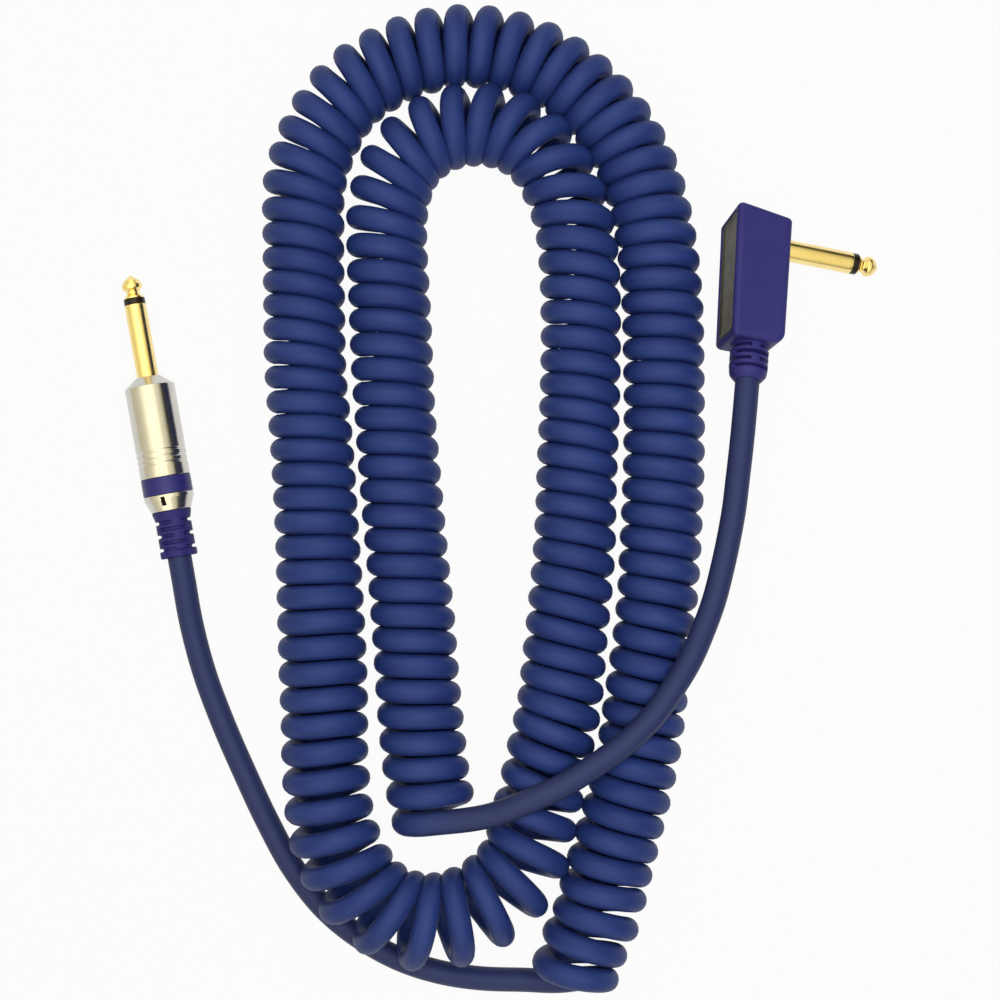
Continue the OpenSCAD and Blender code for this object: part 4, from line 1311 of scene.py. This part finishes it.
@dataclass
class CurlyCord:
    """The whole cord: a straight tail, the curls and the other tail, as one piece.

    Attributes:
        start: Where the jacket starts in the straight plug.
        start_way: The way the cord runs there.
        end: Where the jacket ends in the right-angle plug.
        end_way: The way the cord runs there.
        boot_exit: A point near the end of the straight plug's boot, where the cord comes out. Not used.
        straight_exit: Where the cord is clear of the boot and starts to bend.
        angle_exit: Where the cord goes into the right-angle plug's strain relief.
        diameter: The jacket's diameter.
        droop: How far the tops of the curls lean towards +Y, as a share of their height above the
            coil's axis.
        most_pressed: The largest share of its thickness that a curl loses to its neighbours.
        tail_step: How far apart the rings of the straight tails lie.
        looseness: Spread of the curls' radius about its planned value.
        tilt: Spread of the curls' lean about its planned value, in degrees.
        wander_step: Curls between two draws of either.
        seed: Starts the random draws.
    """

    start: Array
    start_way: Array
    end: Array
    end_way: Array
    boot_exit: Array
    straight_exit: Array
    angle_exit: Array
    diameter: float = 7.1
    droop: float = 0.065
    most_pressed: float = 0.08
    rings_per_curl: int = 28
    sides: int = 18
    tail_step: float = 1.9
    looseness: float = 0.16
    tilt: float = 1.3
    wander_step: float = 1.7
    seed: int = 11
    # Place along the axis and radius of the curls there
    radii: tuple[tuple[float, float], ...] = (
        (0, 9.7), (15, 10), (34, 9.6), (60, 9.2), (110, 8.6), (220, 8.5), (298.5, 8.6), (338, 8.85),
        (428, 8.5), (468, 8.8), (508, 9.5), (528, 9.8), (558, 9.7), (588, 10.7), (618, 11.1), (642.5, 10),
        (656, 9.4), (688, 9.1), (738, 8.75), (788, 8.35), (848.5, 8.6), (918.5, 8.5), (998.5, 8.6),
        (1048.5, 9.0), (1100.6, 9.4),
    )
    # Place along the axis and how far the curls lean back there, in degrees about the upright
    leans: tuple[tuple[float, float], ...] = (
        (0, 12), (20, 12), (50, 8), (80, 2), (160, 2), (190, 3.5), (220, 2), (288.5, 4), (338, 4),
        (368, -2), (398, -3), (428, -2), (458, 1), (488, 5), (513, 10), (538, 14), (558, 13), (578, 2),
        (590.5, -4), (602.5, -5), (615.5, -2), (638, 0), (758, 0), (798, 2), (833, -8), (848.5, -7),
        (868.5, -6), (883.5, -1), (898.5, -3), (913.5, -6), (938.5, -2), (968.5, 0), (1048.5, 2),
        (1100.6, 3),
    )

    def coil(self) -> tuple[Array, Array, Array]:
        """The middle of the cord along the curls, and two ways at each point.

        The point after t turns is A + R·(sin 2πt·n - cos 2πt·z), where A runs along the axis, n is
        across it, leaning a little, and R is the radius there. The coil lies on the table, so A is
        as high as R and half the cord. The tops of the curls droop a little towards +Y.

        Returns:
            The points, the unit vectors from the coil's axis, and how the neighbouring curls press
            there: along the axis, where tube() takes its length as the root of the share lost.
        """
        points = np.array(COIL_AXIS, float)
        first, last = unit(points[1] - points[0]), unit(points[-1] - points[-2])
        axis = evenly(smooth_curve(points, first, last, 1.0), 0.5)
        along = distance_along(axis)
        heading = soften(np.unwrap(np.arctan2(*np.gradient(axis, axis=0).T[::-1])), 12)
        radius = soften(np.interp(along, *np.array(self.radii).T), 30)
        lean = soften(np.interp(along, *np.array(self.leans).T), 20)
        turns = soften(np.interp(along, *np.array(COUNTED_CURLS).T), 30)
        curls = turns[-1]

        t = np.linspace(0, curls, round(curls * self.rings_per_curl) + 1)
        wander = np.random.default_rng(self.seed)
        at = np.arange(0, curls + 4, self.wander_step)
        loose, tilt = (
            np.interp(t, at, soften(wander.normal(0, size, len(at)), 1))
            for size in (self.looseness, self.tilt)
        )
        # The first and the last curls keep their planned shape
        calm = window(t, 2, curls - 2, 3)

        def at_turn(values: Array) -> Array:
            """A value along the axis, read at each of the cord's points."""
            return np.interp(t, turns, values)

        r = at_turn(radius) + loose * calm
        angle = at_turn(heading) + np.radians(at_turn(lean) + tilt * calm) - np.pi / 2
        across = np.stack([np.cos(angle), np.sin(angle), 0 * angle], axis=1)
        up = np.array([0.0, 0.0, 1.0])
        phase = 2 * np.pi * t[:, None]
        out = np.sin(phase) * across - np.cos(phase) * up
        middle = np.stack([at_turn(axis[:, 0]), at_turn(axis[:, 1]), r + self.diameter / 2], axis=1)
        turn = r[:, None] * out
        turn[:, 1] += self.droop * turn[:, 2]
        pitch = np.gradient(along, turns)
        spare = np.clip(1 - at_turn(pitch) / self.diameter, 0, self.most_pressed)
        along_axis = np.stack([-across[:, 1], across[:, 0], 0 * angle], axis=1)
        return middle + turn, out, along_axis * np.sqrt(spare)[:, None]

    def line(self) -> tuple[Array, Array, Array]:
        """The middle of the whole cord, the way each ring starts and how it is pressed, one per row."""
        coil, out, press = self.coil()
        first, last = unit(coil[1] - coil[0]), unit(coil[-1] - coil[-2])
        into_coil = np.vstack([self.start, self.straight_exit, STRAIGHT_TAIL, coil[:1]])
        out_of_coil = np.vstack([coil[-1:], ANGLE_TAIL, self.angle_exit, self.end])
        tail = evenly(smooth_curve(into_coil, self.start_way, first, 0.5), self.tail_step)[:-1]
        other = evenly(smooth_curve(out_of_coil, last, self.end_way, 0.5), self.tail_step)[1:]
        outs = np.vstack([
            np.broadcast_to(out[0], tail.shape), out, np.broadcast_to(out[-1], other.shape)
        ])
        line = np.vstack([tail, coil, other])
        line[:, 2] = np.maximum(line[:, 2], self.diameter / 2)
        return line, outs, np.vstack([0 * tail, press, 0 * other])

    def build(self, bench: Bench) -> bpy.types.Object:
        """Returns:
            The piece.
        """
        line, outs, press = self.line()
        surface, straightened = tube(line, outs, press, self.diameter / 2, self.sides)
        nodes = ("cord_tail_straight", "cord_coil", "cord_tail_angle", "straight_cord_end", "angle_cord_end")
        along = distance_along(line)
        curls = np.flatnonzero(np.linalg.norm(np.diff(outs, axis=0), axis=1) > 0)[[0, -1]]
        jacket = replace(JACKET, first_tail=float(along[curls[0]]), last_tail=float(along[curls[-1]]))
        cord = bench.add("curly_cord", surface, AS_FRAME, jacket, "root", nodes, straightened)
        return cord


# ---- The studio -------------------------------------------------------------------------------


def seen_directly(tree: bpy.types.NodeTree) -> Socket:
    """1 for the camera's rays and for those that a mirror or glass sends on, and 0 for the rest."""
    path = add_node(tree, "LightPath", {})
    seen = path.outputs["Is Camera Ray"]
    for other in ("Is Glossy Ray", "Is Transmission Ray"):
        larger = add_node(tree, "Math", {0: seen, 1: path.outputs[other]}, operation="MAXIMUM")
        seen = larger.outputs["Value"]
    return seen


@dataclass
class Studio:
    """A pale table, soft light from above and a camera that looks straight down.

    Attributes:
        eye: The camera's place, in metres.
        lens: The camera's lens, in millimetres on a 36 mm sensor.
        table_glow: How much of the table's colour is plain white where it is seen directly.
        table_colour: The table's colour for the light that it sends back.
        key_size: Both sides of the soft lamp, in metres.
        key_place: The soft lamp's place, in metres.
        key_power: Its power, in watts.
        ambient: How bright the even light from all round is.
        tent_strips: Into how many strips the tent's round is divided.
        tent_tint: The tent's colour.
        tent_end: How bright the feet of its two end walls are.
        tent: What the metal reflects: the angle from straight up towards +X, in degrees, and how
            bright the tent is there.
    """

    eye: Point = (0.0007, -0.0345, 0.55)
    lens: float = 65.7
    table_size: float = 6.0
    table_glow: float = 0.95
    table_colour: Colour = (0.52, 0.49, 0.43)
    key_size: tuple[float, float] = (0.8, 0.65)
    key_place: Point = (0.1, 0.0, 0.95)
    key_power: float = 9.0
    ambient: float = 0.26
    tent_strips: int = 92
    tent_radius: float = 0.8
    tent_length: float = 2.4
    tent_tint: Colour = (1.0, 0.94, 0.68)
    tent_end: float = 0.85
    tent: tuple[tuple[float, float], ...] = (
        (-92, 0.72), (-80, 0.78), (-65, 0.86), (-51, 1.0), (-44, 1.25), (-37, 1.6), (-25, 2.0), (12, 2.0),
        (18, 1.5), (25, 1.15), (37, 1.0), (44, 0.85), (51, 0.5), (56, 0.12), (60, 0.01), (72, 0.01),
        (78, 0.05), (92, 0.12),
    )

    def camera(self) -> None:
        """Adds the camera, with the image's top along +Y."""
        data = bpy.data.cameras.new("camera")
        data.lens, data.sensor_width = self.lens, 36.0
        data.clip_start, data.clip_end = 0.01, 50.0
        camera = new_object("camera", data)
        camera.location = self.eye
        bpy.context.scene.camera = camera

    def key(self) -> None:
        """Adds the large soft lamp overhead."""
        data = bpy.data.lights.new("softbox", "AREA")
        data.shape = "RECTANGLE"
        data.size, data.size_y = self.key_size
        data.energy = self.key_power
        lamp = new_object("softbox", data)
        lamp.location = self.key_place
        lamp.visible_glossy = False

    def reflected_tent(self) -> None:
        """Adds a half-round tent along Y over the table, which only shows in reflections.

        A point at angle a lies at (r·sin a, y, r·cos a), and its glow is read from the tent's list.
        Towards the middle of each end wall's foot the glow changes to tent_end.
        """
        angles = np.linspace(self.tent[0][0], self.tent[-1][0], self.tent_strips + 1)
        a = np.radians(angles)
        arc = np.stack([np.sin(a), 0 * a, np.cos(a)], axis=1) * self.tent_radius
        half = np.array([0.0, self.tent_length / 2, 0.0])
        points = np.vstack([arc - half, arc + half, -half, half])
        count = len(angles)
        low = np.arange(count - 1)
        sides = np.stack([low, low + 1, low + 1 + count, low + count], axis=1)
        ends = [
            np.stack([low + shift, low + 1 + shift, 0 * low + 2 * count + end], axis=1)
            for end, shift in enumerate((0, count))
        ]
        mesh = bpy.data.meshes.new("tent")
        mesh.from_pydata(points.tolist(), [], [*sides.tolist(), *np.vstack(ends).tolist()])
        glow = mesh.attributes.new("glow", "FLOAT", "POINT")
        shades = np.interp(angles, *np.array(self.tent).T)
        glow.data.foreach_set("value", np.concatenate([shades, shades, [self.tent_end] * 2]))
        material = bpy.data.materials.new("tent_cloth")
        material.use_nodes = True
        tree = material.node_tree
        tree.nodes.clear()
        source = add_node(tree, "Attribute", {}, attribute_name="glow")
        colour = (*self.tent_tint, 1.0)
        light = add_node(tree, "Emission", {"Color": colour, "Strength": source.outputs["Fac"]})
        add_node(tree, "OutputMaterial", {"Surface": light.outputs[0]})
        mesh.materials.append(material)
        tent = new_object("tent", mesh)
        tent.visible_camera = tent.visible_diffuse = tent.visible_shadow = tent.visible_transmission = False

    def table(self) -> None:
        """Adds the pale table. Seen directly it is mostly plain white, and it keeps a faint shadow."""
        mesh = bpy.data.meshes.new("table")
        s = self.table_size / 2
        mesh.from_pydata([(-s, -s, 0), (s, -s, 0), (s, s, 0), (-s, s, 0)], [], [(0, 1, 2, 3)])
        material = bpy.data.materials.new("pale_table")
        material.use_nodes = True
        tree = material.node_tree
        shader, output = tree.nodes["Principled BSDF"], tree.nodes["Material Output"]
        shader.inputs["Base Color"].default_value = (*self.table_colour, 1)
        shader.inputs["Roughness"].default_value = 0.9
        shader.inputs["Specular IOR Level"].default_value = 0.1
        glow = add_node(tree, "Emission", {"Color": WHITE}).outputs[0]
        share = add_node(tree, "Math", {0: seen_directly(tree), 1: self.table_glow}, operation="MULTIPLY")
        mix = add_node(tree, "MixShader", {"Fac": share.outputs[0], 1: shader.outputs[0], 2: glow})
        tree.links.new(mix.outputs[0], output.inputs["Surface"])
        mesh.materials.append(material)
        table = new_object("table", mesh)

    def world(self) -> None:
        """Sets a white surround for the camera, mirrors and glass, and even light for the rest."""
        world = bpy.data.worlds.new("surround")
        world.use_nodes = True
        tree = world.node_tree
        even = add_node(tree, "Background", {"Color": WHITE, "Strength": self.ambient}).outputs[0]
        white = add_node(tree, "Background", {"Color": WHITE}).outputs[0]
        mix = add_node(tree, "MixShader", {"Fac": seen_directly(tree), 1: even, 2: white})
        tree.links.new(mix.outputs[0], tree.nodes["World Output"].inputs["Surface"])
        bpy.context.scene.world = world

    def build(self) -> None:
        """Adds all of it."""
        self.camera()
        self.key()
        self.reflected_tent()
        self.table()
        self.world()
        bpy.context.scene.view_settings.view_transform = "Standard"


# ---- The whole cable --------------------------------------------------------------------------


@dataclass
class Cable:
    """The cable in its frame: the placements of both plugs and of the cord's ends.

    Attributes:
        record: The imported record, whose mounts say where the pins are.
        straight_cord_exit: From the straight plug's face to where its cord starts to bend.
        boot_exit: From the same face to a point near the end of the boot.
        jacket_start: From the same face to where the cord's jacket starts.
        angle_turn: How far the right-angle plug turns about the upright, in degrees.
        angle_lean: How far its cord end is raised, in degrees.
        angle_roll: How far its pin end is lowered, in degrees.
        relief_end: Where its strain relief ends, along its y.
        jacket_end: Where the jacket ends in it, along its y.
    """

    record: dict
    straight_cord_exit: float = 60.95
    boot_exit: float = 50.0
    jacket_start: float = 21.05
    angle_turn: float = -6.0
    angle_lean: float = 15.0
    angle_roll: float = 12.5
    relief_end: float = -42.8
    jacket_end: float = -24.0

    def face(self, mount: str) -> tuple[Array, Array]:
        """The point where a pin leaves its plug, in millimetres, and the way it points."""
        found = next(m for m in self.record["mounts"] if m["name"] == mount)
        way = unit(np.array(found["axis"]))
        return np.array(found["pos_m"]) / MM - way * found["dims"]["length_mm"] / 2, way

    def straight_place(self) -> Placement:
        """The straight plug's axes: z along the pin, y down to the table."""
        origin, z = self.face("straight_pin")
        y = np.array([0.0, 0.0, -1.0])
        return Placement(origin, np.stack([np.cross(y, z), y, z], axis=1))

    def angle_place(self) -> Placement:
        """The right-angle plug's axes, on the pin's axis in the middle of the housing."""
        origin, way = self.face("angle_pin")
        leaning = turn_about(0, -self.angle_lean) @ turn_about(1, self.angle_roll)
        matrix = turn_about(2, self.angle_turn) @ leaning
        return Placement(origin - way * AnglePlug.depth / 2, matrix)

    def build(self) -> None:
        """Builds the plugs, the cord and the inner parts' finishes."""
        bench = Bench()
        straight, angle = self.straight_place(), self.angle_place()
        StraightPlug(straight).build(bench)
        AnglePlug(angle).build(bench)
        CurlyCord(
            start=straight.to_frame(np.array([0, 0, -self.jacket_start])),
            start_way=-straight.matrix[:, 2],
            end=angle.to_frame(np.array([0, self.jacket_end, 0])),
            end_way=angle.matrix[:, 1],
            boot_exit=straight.to_frame(np.array([0, 0, -self.boot_exit])),
            straight_exit=straight.to_frame(np.array([0, 0, -self.straight_cord_exit])),
            angle_exit=angle.to_frame(np.array([0, self.relief_end, 0])),
        ).build(bench)
        self.dress_inside(bench.wardrobe)

    def dress_inside(self, wardrobe: Wardrobe) -> None:
        """Gives the CAD nodes that stay their finishes, by the slot that the record gives them."""
        finishes = {f.slot: f for f in (INNER_MOULD, WHITE_INSULATION, COLLET, CONTACT, BRAID)}
        for part in self.record["subparts"]:
            node = bpy.data.objects[part["node"]]
            if not node.hide_render:
                wardrobe.dress(node, finishes[part["material_slot"]])
                LOG.info("%s: %s", node.name, part["material_slot"])


def corners(bounds: tuple) -> list[list[float]]:
    """A box's two corners as plain lists of numbers."""
    return [[float(x) for x in corner] for corner in bounds]


def main() -> None:
    """Builds the cable round its frame."""
    logging.basicConfig(level=logging.INFO, format="%(name)s: %(message)s")
    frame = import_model()
    Studio().build()
    Cable(frame["record"]).build()


if __name__ == "__main__":
    main()
